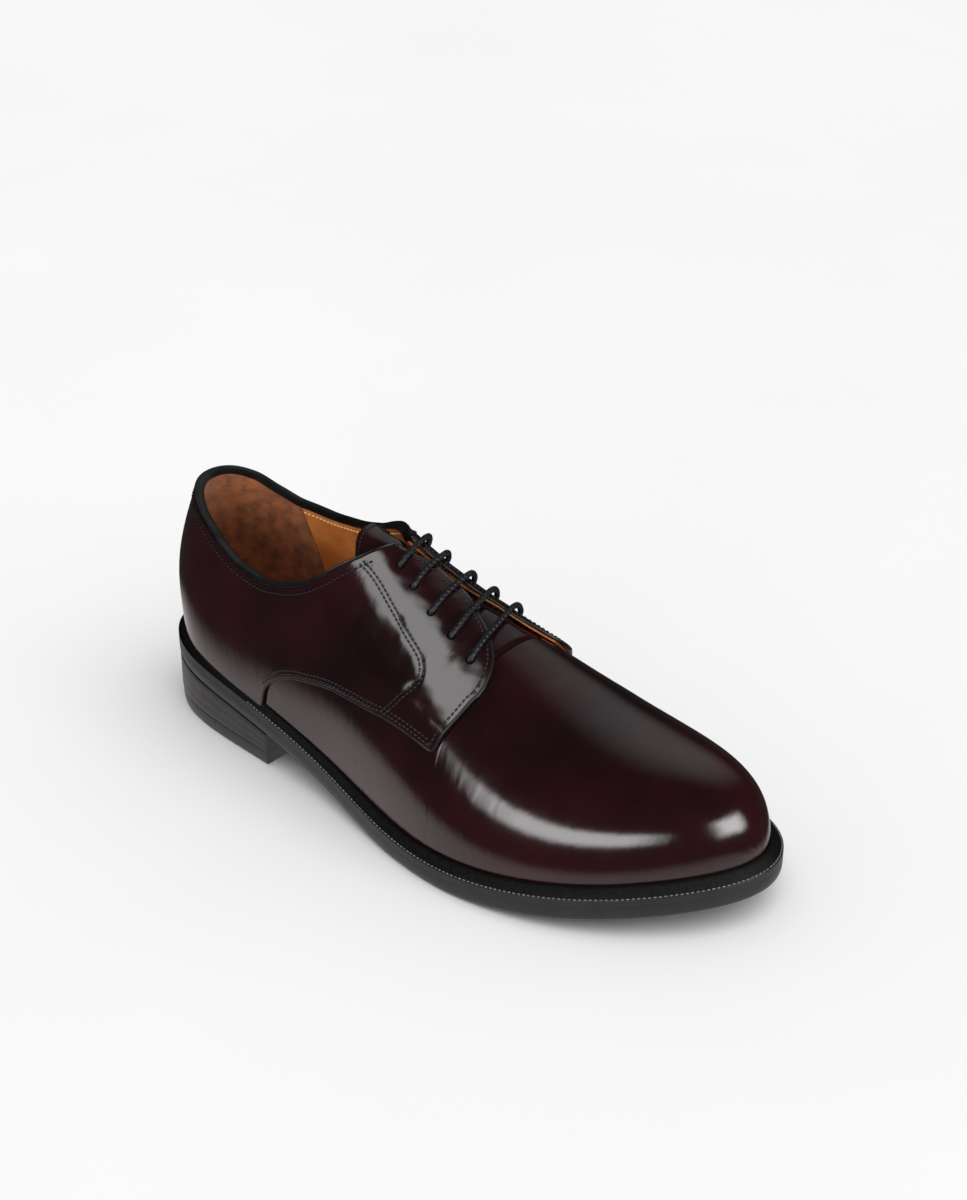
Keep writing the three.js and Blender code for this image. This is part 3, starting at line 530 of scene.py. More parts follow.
def tape_cloth():
    # Cotton tape: off-white threads 0.5 mm apart across it and 1.5 mm long where each shows.
    weave = (0.5, 1.5, 0.5)
    return surface("cotton_tape", (weave, "#c9c2b0", "#e3ddcf"), grain=((weave, 0.1, 0.6),),
                   Roughness=0.9, IOR=1.4)


def tag_plastic():
    # Lace tag: black film wound and glued round the cord's end.
    return surface("black_lace_tag", (2, "#0c0c0e", "#1b1b1e"), Roughness=0.25, IOR=1.5)


# Each finish is a material and the slot of the pieces that have it.
CALF = polished_calf(), "upper_leather"
BINDING = bound_leather(), "trim_leather"
LINING = lining_leather(), "lining_leather"
SUEDE = suede_leather(), "suede"
WELT = welt_leather(), "welt_leather"
RUBBER = sole_rubber(), "sole_rubber"
DRESSED_EDGE = RUBBER[0], "welt_leather"
CORD = waxed_cord(), "lace_cord"
BLACK_THREAD = thread("black_waxed_thread", "#050506", "#151517"), "upper_leather"
TAN_THREAD = thread("pale_lining_thread", "#c79a63", "#e0bb85"), "lining_leather"
WELT_THREAD = thread("grey_welt_thread", "#3a3b3e", "#77797d"), "welt_leather"

# The CAD pieces that stay have slots of their own, and take only a material.
BRASS = brushed_metal("eyelet_brass", "#9c8142", "#c2a565", 0.28, 0.43)
STEEL = brushed_metal("shank_steel", "#85888c", "#a9acb0", 0.3, 0.45)
BOARD = fibre_board("fibre_board", "#a98c62", "#c4a87c", 1.2)
CORK = fibre_board("ground_cork", "#6d4a2b", "#a37a4c", 2.2)
CLOTH = tape_cloth()
TAG = tag_plastic()


# ---- Cut edges of the upper ----
def sided(outer, inner):
    """A curve for each side through (distance from the heel, lean) points: side is -1 on the outer one
    and 1 on the inner one."""
    outer = edge(outer)
    inner = edge(inner)
    return lambda x, side: np.where(side < 0, outer(x), inner(x))


topline = sided(
    [(6, -44.5), (20, -46.7), (30, -49), (40, -51.3), (48, -53.6), (62, -55.8), (74, -55.5), (86, -52.5),
     (96, -48), (105, -41), (112.3, -32), (119, -21.5), (123.5, -11.5), (126.7, -4)],
    [(6, 44.5), (20, 47.3), (32, 52), (45, 54.7), (60, 54.2), (78, 50.9), (94, 44), (106, 33.6),
     (116, 21), (122, 10.5), (126.7, 6)])
facing = sided(
    [(126.7, -4), (134, -1), (143, 2.5), (154, 2), (164, -1), (170.7, -3.5), (176.3, -7),
     (181.8, -12.5), (184.6, -18), (186.2, -23.5)],
    [(126.7, 6), (134, 6.5), (143, 8.5), (155, 10.2), (163, 13.9), (170, 16.7), (176, 19.5),
     (181, 23.4), (184.6, 28.4), (186.2, 33.5)])
hem = sided(
    [(76.5, -100), (78, -90), (81, -85), (87, -81.5), (96, -77.5), (108, -74), (120, -70.5),
     (132, -67.5), (145, -64), (153, -61.5), (162, -59.5), (172, -58), (178.5, -57.5), (181.8, -48),
     (184.2, -39.5), (186.2, -29)],
    [(76.5, 100), (78, 90), (81, 85), (87, 81.5), (96, 77.5), (108, 74), (120, 71), (132, 68.5),
     (145, 66), (153, 64.5), (162, 63), (172, 62), (178.5, 61.5), (181.8, 53.5), (184.2, 46),
     (186.2, 39.5)])
wing = sided(
    [(60, -88), (72, -80), (82, -74), (96, -68), (120, -61), (145, -54), (165, -48), (176, -44),
     (184, -38)],
    [(60, 88), (72, 80), (82, 74), (96, 68), (120, 62), (145, 57), (165, 53), (176, 50), (184, 46)])
CORNER = 126.7            # where the topline meets the facing
FRONT_TIP = 186.2
VAMP_THROAT = 182
PIPING_LEAN = 1.5
FLAP_RISE = 1.3
CALF_THICKNESS = 1.2
VAMP_THICKNESS = 1.1
LASTED_LEAN = 100.0       # where the upper ends, under the foot
LINING_LEAN = 97.0


def quarter_top(x, side, under=PIPING_LEAN):
    lean = np.where(x < CORNER, topline(x, side), facing(x, side))
    return lean + side * under * (1 - ramp(x, CORNER - 6, CORNER))


def flap_start(x):
    return ramp(x, 138, 168)


def flap_lift(x, lean):
    """1 where the quarter's front lies on the vamp and the tongue, 0 where it lies on the last."""
    start = np.where(lean < 0, 47, 51)
    return flap_start(x) * (1 - ramp(np.abs(lean), start, start + 10))


def quarter_inner(x, lean):
    return 0.1 + FLAP_RISE * flap_lift(x, lean)


def quarter_face(x, lean):
    return quarter_inner(x, lean) + CALF_THICKNESS


def lining_outer(x, lean):
    return mix(-1.4, quarter_inner(x, lean) - 0.1, flap_start(x))


def lining_inner(x, lean):
    return lining_outer(x, lean) - 0.8


# ---- Seams ----
MM_PER_DEGREE = 0.72      # of lean, over the instep
PUCKER_WIDTH = 4.2
PUCKER_DEPTH = 0.24
STITCH_PITCH = 2.15
STITCH_LENGTH = 1.75
THREAD_RADIUS = 0.41
# Along a stitch: share of its length, lift off the leather, share of the thread's radius.
STITCH_RINGS = [(0, -0.42, 0.45), (0.06, -0.12, 0.85), (0.2, 0.06, 1), (0.5, 0.1, 1.02), (0.8, 0.06, 1),
                (0.94, -0.12, 0.85), (1, -0.42, 0.45)]
EYELETS = {
    -1: [(133.4, -11), (142.5, -13.5), (153.8, -16.5), (165.1, -17.5), (176, -19.5)],
    1: [(129, 20), (138, 21.5), (149.5, 23.5), (158.5, 26), (167.5, 29.5)],
}
EYESTAY = {
    -1: [(120.5, -24), (125, -24), (131.2, -25), (137.9, -27), (144.7, -29), (151.5, -31),
         (158.3, -32.5), (162.5, -35), (164, -39), (162.5, -44), (158.5, -51), (153.5, -58.5),
         (151, -61.5)],
    1: [(111, 35), (119, 39), (128, 43), (137, 47), (146, 50), (154, 53), (160, 56), (161.5, 59),
        (159, 61.5), (155.5, 63.2)],
}


def stitch_row(name, x, lean, face, body="shoe"):
    """A row of black stitches on the upper."""
    turn = turn_at(x)
    path = on_last(turn, lean, face(x, lean) + 0.02)
    stitches_along(name, path, last_frame(turn, lean)[0], BLACK_THREAD, body)


def stitches_along(name, path, normals, finish, body="shoe", pitch=STITCH_PITCH,
                   length=STITCH_LENGTH, radius=THREAD_RADIUS):
    """Stitches along a path, each a short thread that comes up, lies on the leather and goes down."""
    line = resample(np.concatenate([path, normals], axis=1), pitch)
    start = line[:-1]
    end = line[1:]
    count = len(STITCH_RINGS)
    centre = np.repeat((start[:, :3] + end[:, :3]) / 2, count, axis=0)
    along = np.repeat(unit(end[:, :3] - start[:, :3]), count, axis=0)
    up = np.repeat(unit(start[:, 3:] + end[:, 3:]), count, axis=0)
    share, lift, width = np.tile(STITCH_RINGS, (len(start), 1)).T[..., None]
    middle = centre + along * (share - 0.5) * length + up * lift
    sides = 8
    points = tube(middle, np.cross(along, up), up, radius * width, ring_angles(sides)).reshape(-1, 3)
    index = np.arange(count * sides).reshape(count, sides)
    turned = np.roll(index, -1, axis=1)
    walls = np.stack([index[:-1], turned[:-1], turned[1:], index[1:]], -1).reshape(-1, 4).tolist()
    stitch = walls + [index[0].tolist(), index[-1, ::-1].tolist()]
    faces = [[first + corner for corner in face]
             for first in range(0, len(points), index.size) for face in stitch]
    make_mesh(name, points, faces, finish, body=body, sharp=60, merge=False)


def moved(x, lean, distance):
    """A line on the last moved sideways by a distance in mm, square to its own run."""
    def place(px, pl):
        return last_point(turn_at(px), pl)
    along = unit(np.gradient(place(x, lean), axis=0))
    step = 0.4
    by_x = (place(x + step, lean) - place(x - step, lean)) / (2 * step)
    by_lean = (place(x, lean + step) - place(x, lean - step)) / (2 * step)
    target = np.cross(unit(np.cross(by_x, by_lean)), along) * distance
    xx, xl, ll = (by_x ** 2).sum(1), (by_x * by_lean).sum(1), (by_lean ** 2).sum(1)
    tx, tl = (target * by_x).sum(1), (target * by_lean).sum(1)
    det = xx * ll - xl ** 2
    return x + (tx * ll - tl * xl) / det, lean + (tl * xx - tx * xl) / det


def hem_line(side):
    """The quarter's lower edge, from the welt over the arch and forward to the front corner."""
    x = np.concatenate([np.linspace(77.2, 87, 120), np.linspace(87.2, 178.3, 300)])
    return x, hem(x, side)


def front_line(side):
    """The quarter's front edge: down the facing, round its foot and back to the hem's corner."""
    tip = FRONT_TIP - 0.05
    down = CORNER + (tip - CORNER) * np.sin(np.linspace(0, math.pi / 2, 200))
    back = tip - (FRONT_TIP - 179) * (1 - np.cos(np.linspace(0, math.pi / 2, 100)))[1:]
    return np.concatenate([down, back]), np.concatenate([facing(down, side), hem(back, side)])


def gap_squared(x, lean, spot):
    return (x - spot[0]) ** 2 + (MM_PER_DEGREE * (lean - spot[1])) ** 2


def near_line(x, lean, line, width):
    """1 on a line of (x, lean) points and falling to 0 a width away, in millimetres."""
    gaps = [gap_squared(x, lean, spot) for spot in zip(*line_on_last(line, 90))]
    return np.exp(-np.min(gaps, axis=0) / width ** 2)


# ---- Upper ----
def vamp_face(x, lean):
    # Soft waves in the skin over the ball of the foot, where the upper has begun to flex.
    flex = ramp(x, 178, 196) * (1 - ramp(x, 214, 236))
    waves = np.sin(x * 0.62 + np.abs(lean) * 0.05) * 0.012 + np.sin(x * 0.31 - lean * 0.04) * 0.03
    loose = 0.03 * np.sin(x * 0.11 + lean * 0.09) * np.sin(lean * 0.13 - x * 0.05)
    # Short creases on each side of the ball, just in front of the quarters.
    side = ramp(np.abs(lean), 40, 52) * (1 - ramp(np.abs(lean), 70, 86))
    span = ramp(x, 180, 190) * (1 - ramp(x, 204, 226))
    drift = x + 5 * np.sin(lean * 0.07) + 1.5 * np.sin(lean * 0.23)
    creases = (0.014 * np.sin(drift * 0.9) + 0.01 * np.sin(drift * 1.63 + 1.1)
               + 0.007 * np.sin(drift * 2.4 + lean * 0.1))
    return flex * waves * (1 - ramp(np.abs(lean), 70, 88)) + loose + creases * side * span


def add_vamp():
    """The vamp: the toe and forepart whole, and two wings that run back under the quarters."""
    a, b = np.meshgrid(np.linspace(0, 1, 190), np.linspace(-1, 1, 171), indexing="ij")
    turn = mix(turn_at(VAMP_THROAT), 1.0, a)
    lean = b * LASTED_LEAN
    top = vamp_face(turn_place(turn), lean)
    sheet("vamp_skin", on_last(turn, lean, top), on_last(turn, lean, top - VAMP_THICKNESS), CALF, ("vamp",))
    for label, side in SIDES:
        place = between(66, VAMP_THROAT + 0.4, side * LASTED_LEAN, lambda x: wing(x, side))
        leather_sheet(f"vamp_wing_{label}", place, vamp_face, raised(vamp_face, -VAMP_THICKNESS), 110, 60,
                      CALF, rims=(0.004, 0.01))


def quarter_skin(side):
    """A quarter's outer face: it sinks along the eyestay seam and puckers where the lace pulls on it."""
    def face(x, lean):
        seam = near_line(x, lean, EYESTAY[side], 1.5)
        loose = 0.07 * np.sin(x * 0.13 + lean * 0.1) * np.sin(lean * 0.11 - x * 0.07)
        slack = (0.09 * np.sin(x * 0.33 + lean * 0.14) * np.sin(lean * 0.24 - x * 0.11)
                 + 0.035 * np.sin(x * 0.71 - lean * 0.33) * np.sin(lean * 0.55 + x * 0.2)) * ramp(x, 118, 136)
        pull = sum(np.exp(-gap_squared(x, lean, eyelet) / PUCKER_WIDTH ** 2) for eyelet in EYELETS[side])
        return quarter_face(x, lean) - 0.3 * seam + loose + slack - PUCKER_DEPTH * pull
    return face


def add_quarters():
    for label, side in SIDES:
        place = between(6.01, FRONT_TIP, lambda x: hem(x, side), lambda x: quarter_top(x, side),
                        towards_front)
        piece = leather_sheet(
            f"quarter_{label}_skin", place, quarter_skin(side), quarter_inner, 230, 110, CALF,
            (f"quarter_{label}",), rims=(0.004, 0.012), roundness=0.6)
        punch(piece, side, diameter=3.5)


def punch(piece, side, diameter):
    """Punches the eyelet holes through a piece."""
    for row, (x, lean) in enumerate(EYELETS[side]):
        high, low = to_frame(on_last(turn_at(x), lean, np.array([8.0, -8.0])))
        axis = Vector(high - low)
        bpy.ops.mesh.primitive_cylinder_add(
            vertices=28, radius=diameter / 2 * MM, depth=axis.length, location=(high + low) / 2,
            rotation=axis.to_track_quat("Z", "Y").to_euler())
        tool = bpy.context.object
        cutter = piece.modifiers.new(f"hole_{row}", "BOOLEAN")
        cutter.operation = "DIFFERENCE"
        cutter.solver = "EXACT"
        cutter.object = tool
        bpy.context.view_layer.objects.active = piece
        bpy.ops.object.modifier_apply(modifier=cutter.name)
        bpy.data.objects.remove(tool)
    piece.data.shade_smooth()
    piece.data.set_sharp_from_angle(angle=math.radians(35))


def add_back_strip():
    half_width = 4.5
    reach = turn_place(half_width / (math.pi * outer_fullness(0)))
    place = around_heel(reach, lambda x, side: side * 99, lambda x, side: topline(x, side) + side * 2.2)
    leather_sheet("back_strip_skin", place, raised(quarter_face, 0.75), raised(quarter_face, 0.02), 20, 80,
                  BINDING, ("back_strip",), rims=(0.06, 0.01), roundness=0.7)


def add_piping():
    """The binding rolled over the topline, from one facing's corner round the heel to the other: a black
    band with a bead along its lower edge."""
    share = np.linspace(-1, 1, 420)
    turn = np.abs(share) * turn_at(126)
    x = turn_place(turn)
    lean = topline(x, share)
    base = last_point(turn, lean)
    normal, up = last_frame(turn, lean)
    outside = quarter_face(x, lean)
    inside = lining_inner(x, lean)
    # (the face it starts from, distance out from it, distance up)
    profile = [(outside, out, rise) for out, rise in (
        (0, -2.0), (0.3, -1.95), (0.45, -1.7), (0.42, -1.45), (0.2, -1.2), (0.38, -0.95), (0.55, -0.45),
        (0.48, 0))]
    middle = (outside + inside) / 2
    profile += [(middle, 0.7, 0.42), (middle, -0.7, 0.38)]
    profile += [(inside, out, rise) for out, rise in (
        (-0.3, -0.1), (-0.42, -0.5), (-0.3, -1.0), (0, -1.25))]
    rings = [base + normal * (face + out)[:, None] + up * rise for face, out, rise in profile]
    loft("topline_piping", np.stack(rings, 1), BINDING, ("topline_binding",), sharp=50)


def add_bead(name, x, lean, face, radius, sink):
    """A rounded bead along a cut edge, where the leather is turned over and inked black."""
    turn = turn_at(x)
    base = np.concatenate([on_last(turn, lean, face(x, lean) - sink), last_frame(turn, lean)[0]], 1)
    line = resample(base, pitch=0.8)
    path = line[:, :3]
    normal = line[:, 3:]
    across = unit(np.cross(unit(np.gradient(path, axis=0)), normal))
    size = np.full((len(path), 1), float(radius))
    size[0] = size[-1] = radius * 0.3
    loft(name, tube(path, across, normal, size, ring_angles(10)), BINDING, sharp=60)


def add_edge_beads():
    for label, side in SIDES:
        face = quarter_skin(side)
        add_bead(f"facing_edge_{label}", *moved(*front_line(side), -side * 0.1), face, 0.72, 0.35)
        add_bead(f"hem_edge_{label}", *hem_line(side), face, 0.6, 0.45)


# ---- Tongue ----
def tongue_face(x, lean):
    # The tongue swells up into the gap between the facings, where the lace runs don't hold it down.
    under = lining_inner(x, lean * 0) - 3.4
    middle = (facing(x, -1) + facing(x, 1)) / 2
    width = 5 + (facing(x, 1) - facing(x, -1)) / 2
    swell = 2.6 * np.exp(-((lean - middle) / width) ** 4) * ramp(x, 112, 126)
    raised_face = mix(under + swell, -0.4, ramp(x, 171, 180))
    return raised_face - 1.1 * ramp(x, 179.5, 182)


def add_tongue():
    half = edge([(106, 20), (110, 27), (116, 31), (140, 44), (160, 46), (176, 34), (190, 24)])
    low = lambda x: -half(x) + 3
    high = lambda x: half(x) + 6
    top_end = lambda b: 109 + 7 * np.abs(2 * b - 1) ** 4
    back = raised(tongue_face, -1.0)
    leather_sheet("tongue_skin", between(top_end, 188, low, high), tongue_face, back, 90, 60, CALF,
                  ("tongue",), "tongue", rims=(0.01, 0.012), roundness=0.6)
    place = between(lambda b: top_end(b) + 1, 175, lambda x: low(x) + 0.8, lambda x: high(x) - 0.8)
    leather_sheet("tongue_lining_skin", place, raised(back, -0.05), raised(back, -0.8), 60, 40, LINING,
                  ("tongue_lining",), "tongue", rims=(0.01, 0.012))
    margin = 2.0
    inset = margin / MM_PER_DEGREE
    b = np.linspace(0, 1, 300)
    across = top_end(b) + margin
    sides = np.linspace(150, across[0], 90)[:-1]
    x = np.concatenate([sides, across, sides[::-1]])
    share = np.concatenate([0 * sides, b, 0 * sides + 1])
    stitch_row("tongue_stitch", x, mix(low(x) + inset, high(x) - inset, share), tongue_face, "tongue")


# ---- Inside ----
def grip_edge(b):
    return mix(64, 44, b)


def add_linings():
    place = around_heel(grip_edge, lambda x, side: side * LINING_LEAN,
                        lambda x, side: topline(x, side) + side * 1.2)
    nap = lambda x, lean: lining_inner(x, lean) + 0.06 * np.sin(x * 0.5 + lean * 0.3) * np.sin(lean * 0.41)
    leather_sheet("heel_grip_nap", place, lining_outer, nap, 120, 60, SUEDE, ("heel_grip",),
                  rims=(0.004, 0.01))
    for label, side in SIDES:
        foot = lambda x: mix(side * LINING_LEAN, wing(x, side) - side * 0.3, ramp(x, 134, 138))
        tuck = 1.4 if side < 0 else 0.2
        top = lambda x: quarter_top(x, side, 1.2) + side * (0.25 + tuck * ramp(x, 122, 130))
        place = between(lambda b: grip_edge(b) + 0.4, FRONT_TIP - 2.2, foot, top, towards_front)
        piece = leather_sheet(
            f"quarter_lining_{label}_skin", place, lining_outer, lining_inner, 150, 70, LINING,
            (f"quarter_lining_{label}",), rims=(0.004, 0.01), round_inner=0.4)
        punch(piece, side, diameter=5.2)
    face = lambda x, lean: -1.45 - 1.1 * ramp(x, 222, 240)
    back = raised(face, -0.7)
    place = between(192, LAST_TIP, -LINING_LEAN, LINING_LEAN)
    leather_sheet("vamp_lining_skin", place, face, back, 60, 70, LINING, ("vamp_lining",),
                  rims=(0.003, 0.003))
    for label, side in SIDES:
        place = between(139, 192.3, side * LINING_LEAN, lambda x: wing(x, side) + side * 0.3)
        leather_sheet(f"vamp_lining_wing_{label}", place, face, back, 40, 24, LINING, rims=(0.006, 0.01))


def add_sock():
    """The sock liner: a soft sheet over the insole, a little dished and turned up at its edge."""
    turn, across = np.meshgrid(np.linspace(0, 1, 120), np.linspace(0, 1, 31), indexing="ij")
    inset = 2.9 + 1.1 * ramp(turn, 0.66, 0.72) + 0.8 * ramp(turn, 0.85, 0.95)
    level = feather_height(turn)
    top = mix(rim_point(turn, -1, -inset), rim_point(turn, 1, -inset), across[..., None])
    top[..., 2] = level + 0.85 + 0.5 * (2 * across - 1) ** 4
    under = top.copy()
    under[..., 2] = level - 0.15
    sheet("sock_liner_sheet", top, under, LINING, ("sock_liner",))


# ---- Bottom ----
WELT_TOP = -WALL_DROP - 0.3
WELT_THICKNESS = 3
SOLE_TOP = WELT_TOP - WELT_THICKNESS - 0.1
SOLE_THICKNESS = 6.1
HEEL_BREAST = 81
BREAST_TURN = float(turn_at(HEEL_BREAST))
LIFT_HEIGHT = 6.0


def even_loop(spacing):
    """Turns, sides and distances once round the sole at even spacing, so that a pattern on it repeats
    evenly: from the back of the heel to the toe on the outer side, and back on the inner side."""
    steps = 900
    outward = np.linspace(0, 1, steps, endpoint=False)
    turn = np.concatenate([outward, 1 - outward])
    points = rim_point(turn, np.repeat([-1.0, 1.0], steps), sole_margin(turn))
    run = distance_along(np.concatenate([points, points[:1]]))
    at = np.linspace(0, run[-1], int(run[-1] / spacing), endpoint=False)
    place = np.interp(at, run[:-1], np.arange(2 * steps)) / steps
    return np.clip(np.where(place <= 1, place, 2 - place), 0, 1), np.where(place < 1, -1.0, 1.0), at


def add_welt():
    """The welt: a strip with wheeled ribs, a stitch groove near its edge and a trimmed lip."""
    turn, side, run = even_loop(spacing=0.45)
    margin = sole_margin(turn)
    top = feather_height(turn) + WELT_TOP
    rib_pitch = 1.35
    rib = 0.5 + 0.5 * np.cos(run * 2 * math.pi / rib_pitch)
    speck = 0.5 + 0.5 * np.sin(run * 4.7) * np.sin(run * 1.9)
    wheeled = 0.3 * rib + 0.14 * speck

    def rings(profile):
        return np.stack([rim_ring(turn, side, margin * share + out, top + lift + ribbed * wheeled)
                         for share, out, lift, ribbed in profile], 1)

    # (share of the margin, distance out from there, height over the welt's top, share of the ribs)
    loft("welt_strip", rings([
        (0, -3.0, -3, 0), (0, -3.0, 0, 0), (0, -0.6, 0.6, 0), (0.04, 0, 3.4, 0.6), (0.16, 0, 3.3, 1),
        (0.3, 0, 2.7, 1), (0.45, 0, 1.9, 1), (0.6, 0, 1.1, 1), (0.72, 0, 0.5, 0.8), (0.8, 0, 0.12, 0.2),
        (0.87, 0, -0.25, 0), (0.92, 0, 0, 0), (0.95, 0, -0.02, 0), (1, -0.5, -0.6, 0),
        (1, -0.5, -2.95, 0)]), WELT, ("welt", "heel_rand"), closed=True, sharp=60)
    # The welt's edge is trimmed flush with the sole and dressed with it.
    loft("welt_trimmed_edge", rings([
        (1, -0.3, -0.12, 0), (1, -0.15, -0.02, 0), (1, -0.03, -0.12, 0), (1, 0, -0.4, 0),
        (1, 0, -2.98, 0), (1, -0.45, -2.98, 0), (1, -0.45, -0.3, 0)]), DRESSED_EDGE, closed=True, sharp=50)
    stitch_line = rim_ring(turn, side, margin * 0.87, top - 0.08)
    for label, sign in SIDES:
        path = stitch_line[(turn > BREAST_TURN - 0.03) & (side == sign)]
        ups = np.tile([0.0, 0.0, 1.0], (len(path), 1))
        stitches_along(f"welt_stitch_{label}", path, ups, WELT_THREAD, pitch=2.0, length=1.5, radius=0.3)


def sole_section(turn, low, high, profile):
    """Rings across the sole: each goes up the outer edge's profile, over the top, and down the inner
    edge. The profile's points are (inset from the rim, share of the height)."""
    steps = [(-1, *step) for step in profile] + [(1, *step) for step in reversed(profile)]
    return np.stack([rim_ring(turn, side, sole_margin(turn) - inset, mix(low, high, share))
                     for side, inset, share in steps], 1)


def sole_bottom(z):
    return np.maximum(z + SOLE_TOP - SOLE_THICKNESS, 0)


def add_outsole():
    turn = np.linspace(0, 1, 260)
    z = feather_height(turn)
    profile = [(5, 0), (1.6, 0), (0.9, 0.03), (0.4, 0.12), (0.1, 0.3), (0, 0.55), (0, 0.9), (0.08, 1),
               (5, 1)]
    loft("outsole_rubber", sole_section(turn, sole_bottom(z), z + SOLE_TOP, profile), RUBBER,
         ("outsole",), sharp=50)


def heel_piece(name, low, high, profile, replaces, taper):
    """A piece of the heel: its rim follows the sole, and its front is cut square at the breast. low and
    high are its levels: a number, or a curve of the feather's height."""
    turn = np.linspace(0, BREAST_TURN + 0.06, 110)
    z = feather_height(turn)
    rings = sole_section(turn, low, value_at(high, z), [(inset + taper, share) for inset, share in profile])
    piece = loft(name, rings, RUBBER, replaces, sharp=40)
    work = bmesh.new()
    work.from_mesh(piece.data)
    breast = Vector(to_frame([HEEL_BREAST - 0.3, 0, 0]))
    every = work.verts[:] + work.edges[:] + work.faces[:]
    cut = bmesh.ops.bisect_plane(work, geom=every, plane_co=breast, plane_no=(1, 0, 0), clear_outer=True)
    rim = [part for part in cut["geom_cut"] if isinstance(part, bmesh.types.BMEdge)]
    front = bmesh.ops.edgenet_fill(work, edges=rim)["faces"]
    bmesh.ops.recalc_face_normals(work, faces=work.faces)
    for face in front:
        face.smooth = True
    work.to_mesh(piece.data)
    work.free()
    piece.data.set_sharp_from_angle(angle=math.radians(35))


def add_heel():
    block = [(4, 0), (0.5, 0), (0.12, 0.03), (0, 0.08), (0, 0.3), (0.04, 0.32), (0, 0.34), (0, 0.62),
             (0.04, 0.64), (0, 0.66), (0, 0.93), (0.12, 0.98), (0.4, 1), (4, 1)]
    heel_piece("heel_block_stack", LIFT_HEIGHT + 0.1, lambda z: sole_bottom(z) - 0.05, block,
               ("heel_block",), taper=0.3)
    lift = [(4, 0), (0.7, 0), (0.25, 0.06), (0.05, 0.2), (0, 0.5), (0, 0.9), (0.12, 0.97), (0.4, 1), (4, 1)]
    heel_piece("top_lift_rubber", 0, LIFT_HEIGHT, lift, ("top_lift",), taper=0.6)


# ---- Lace ----
def through(side, row, start, end):
    """The lace's three points through an eyelet, from one level to another."""
    x, lean = EYELETS[side][row]
    return [(x, lean, start), (x, lean, 0), (x, lean, end)]


# (distance from the heel, lean, level): level 1 over the facings, 0 in an eyelet, -1 under the lining.
LACE_ROUTE = [
    (151, -28, -1.1), (147, -26.5, -1.1), (144, -22, -1), (142.7, -17, -1), *through(-1, 1, -0.7, 0.7),
    (141.8, -8, 1.1), (140.6, 0, 1.2), (139.6, 8, 1.4), (138.6, 14, 1.5), (138.1, 18.5, 1.2),
    *through(1, 1, 0.6, -0.7), (142, 28, -1), (150, 32, -1), (156, 31, -1), *through(1, 3, -0.7, 0.6),
    (158.6, 22.5, 1.2), (159.2, 17, 1.5), (160.4, 10, 1.4), (162, 2, 1.2), (163.4, -5, 1.1),
    (164.6, -12, 1.1), *through(-1, 3, 0.7, -0.7), (168.5, -19.5, -1), (172.5, -20, -1),
    *through(-1, 4, -0.7, 0.7), (175.2, -14, 1.1), (173.8, -6, 1.1), (171.8, 3, 1.2),
    (169.8, 12, 1.4), (168.3, 20, 1.5), (167.6, 26, 1.2), *through(1, 4, 0.6, -0.7), (165, 23, -1),
    (159, 19, -1), (153, 19.5, -1), *through(1, 2, -0.7, 0.6), (149.6, 20, 1.2), (150, 15, 1.5),
    (150.8, 9, 1.4), (151.8, 1, 1.2), (152.8, -6, 1.1), (153.5, -12, 1.1), *through(-1, 2, 0.7, -0.7),
    (150, -12, -1), (143, -9.5, -1), (137, -9.7, -1.2), *through(-1, 0, -0.85, 0.7), (132.6, -5, 1.1),
    (131.4, 2, 1.2), (130.2, 9, 1.4), (129.4, 14, 1.5), (129, 17.5, 1.2), *through(1, 0, 0.6, -0.85),
    (130, 27, -1.2), (134, 34, -1), (140, 38, -1.1), (146, 40, -1.2),
]
LACE_RADIUS = 1.15
LACE_STEP = 0.3
STRANDS = 5
STRAND_TURN = 12.0        # mm of lace in which a strand goes once round it


def add_lace():
    """The lace: a round braided cord, its ridges crossing as the strands do."""
    x, lean, level = np.transpose(LACE_ROUTE)
    over = quarter_face(x, lean) + 0.15 + LACE_RADIUS
    under = lining_inner(x, lean * 0) - 0.5 - LACE_RADIUS
    offset = mix((over + under) / 2, np.where(level > 0, over, under), np.abs(level))
    points = on_last(turn_at(x), lean, offset)
    knots = distance_along(points, 0.5)
    fine = np.linspace(0, knots[-1], 4000)
    path = resample(np.stack([smooth(knots, column)(fine) for column in points.T], -1), LACE_STEP)
    tangent = unit(np.gradient(path, axis=0))
    side = np.zeros_like(tangent)
    side[0] = unit(np.cross(tangent[0], [0.3, 0.5, 0.8]))
    for i in range(1, len(side)):
        side[i] = unit(side[i - 1] - tangent[i] * np.dot(side[i - 1], tangent[i]))
    angle = ring_angles(24)
    turned = 2 * math.pi * np.arange(len(path))[:, None] * LACE_STEP / STRAND_TURN
    wave = np.maximum(np.cos(STRANDS * (angle + turned)), np.cos(STRANDS * (angle - turned)))
    radius = LACE_RADIUS * (0.87 + 0.22 * wave)
    loft("lace_cord", tube(path, side, np.cross(tangent, side), radius, angle), CORD, ("lace",), sharp=70)


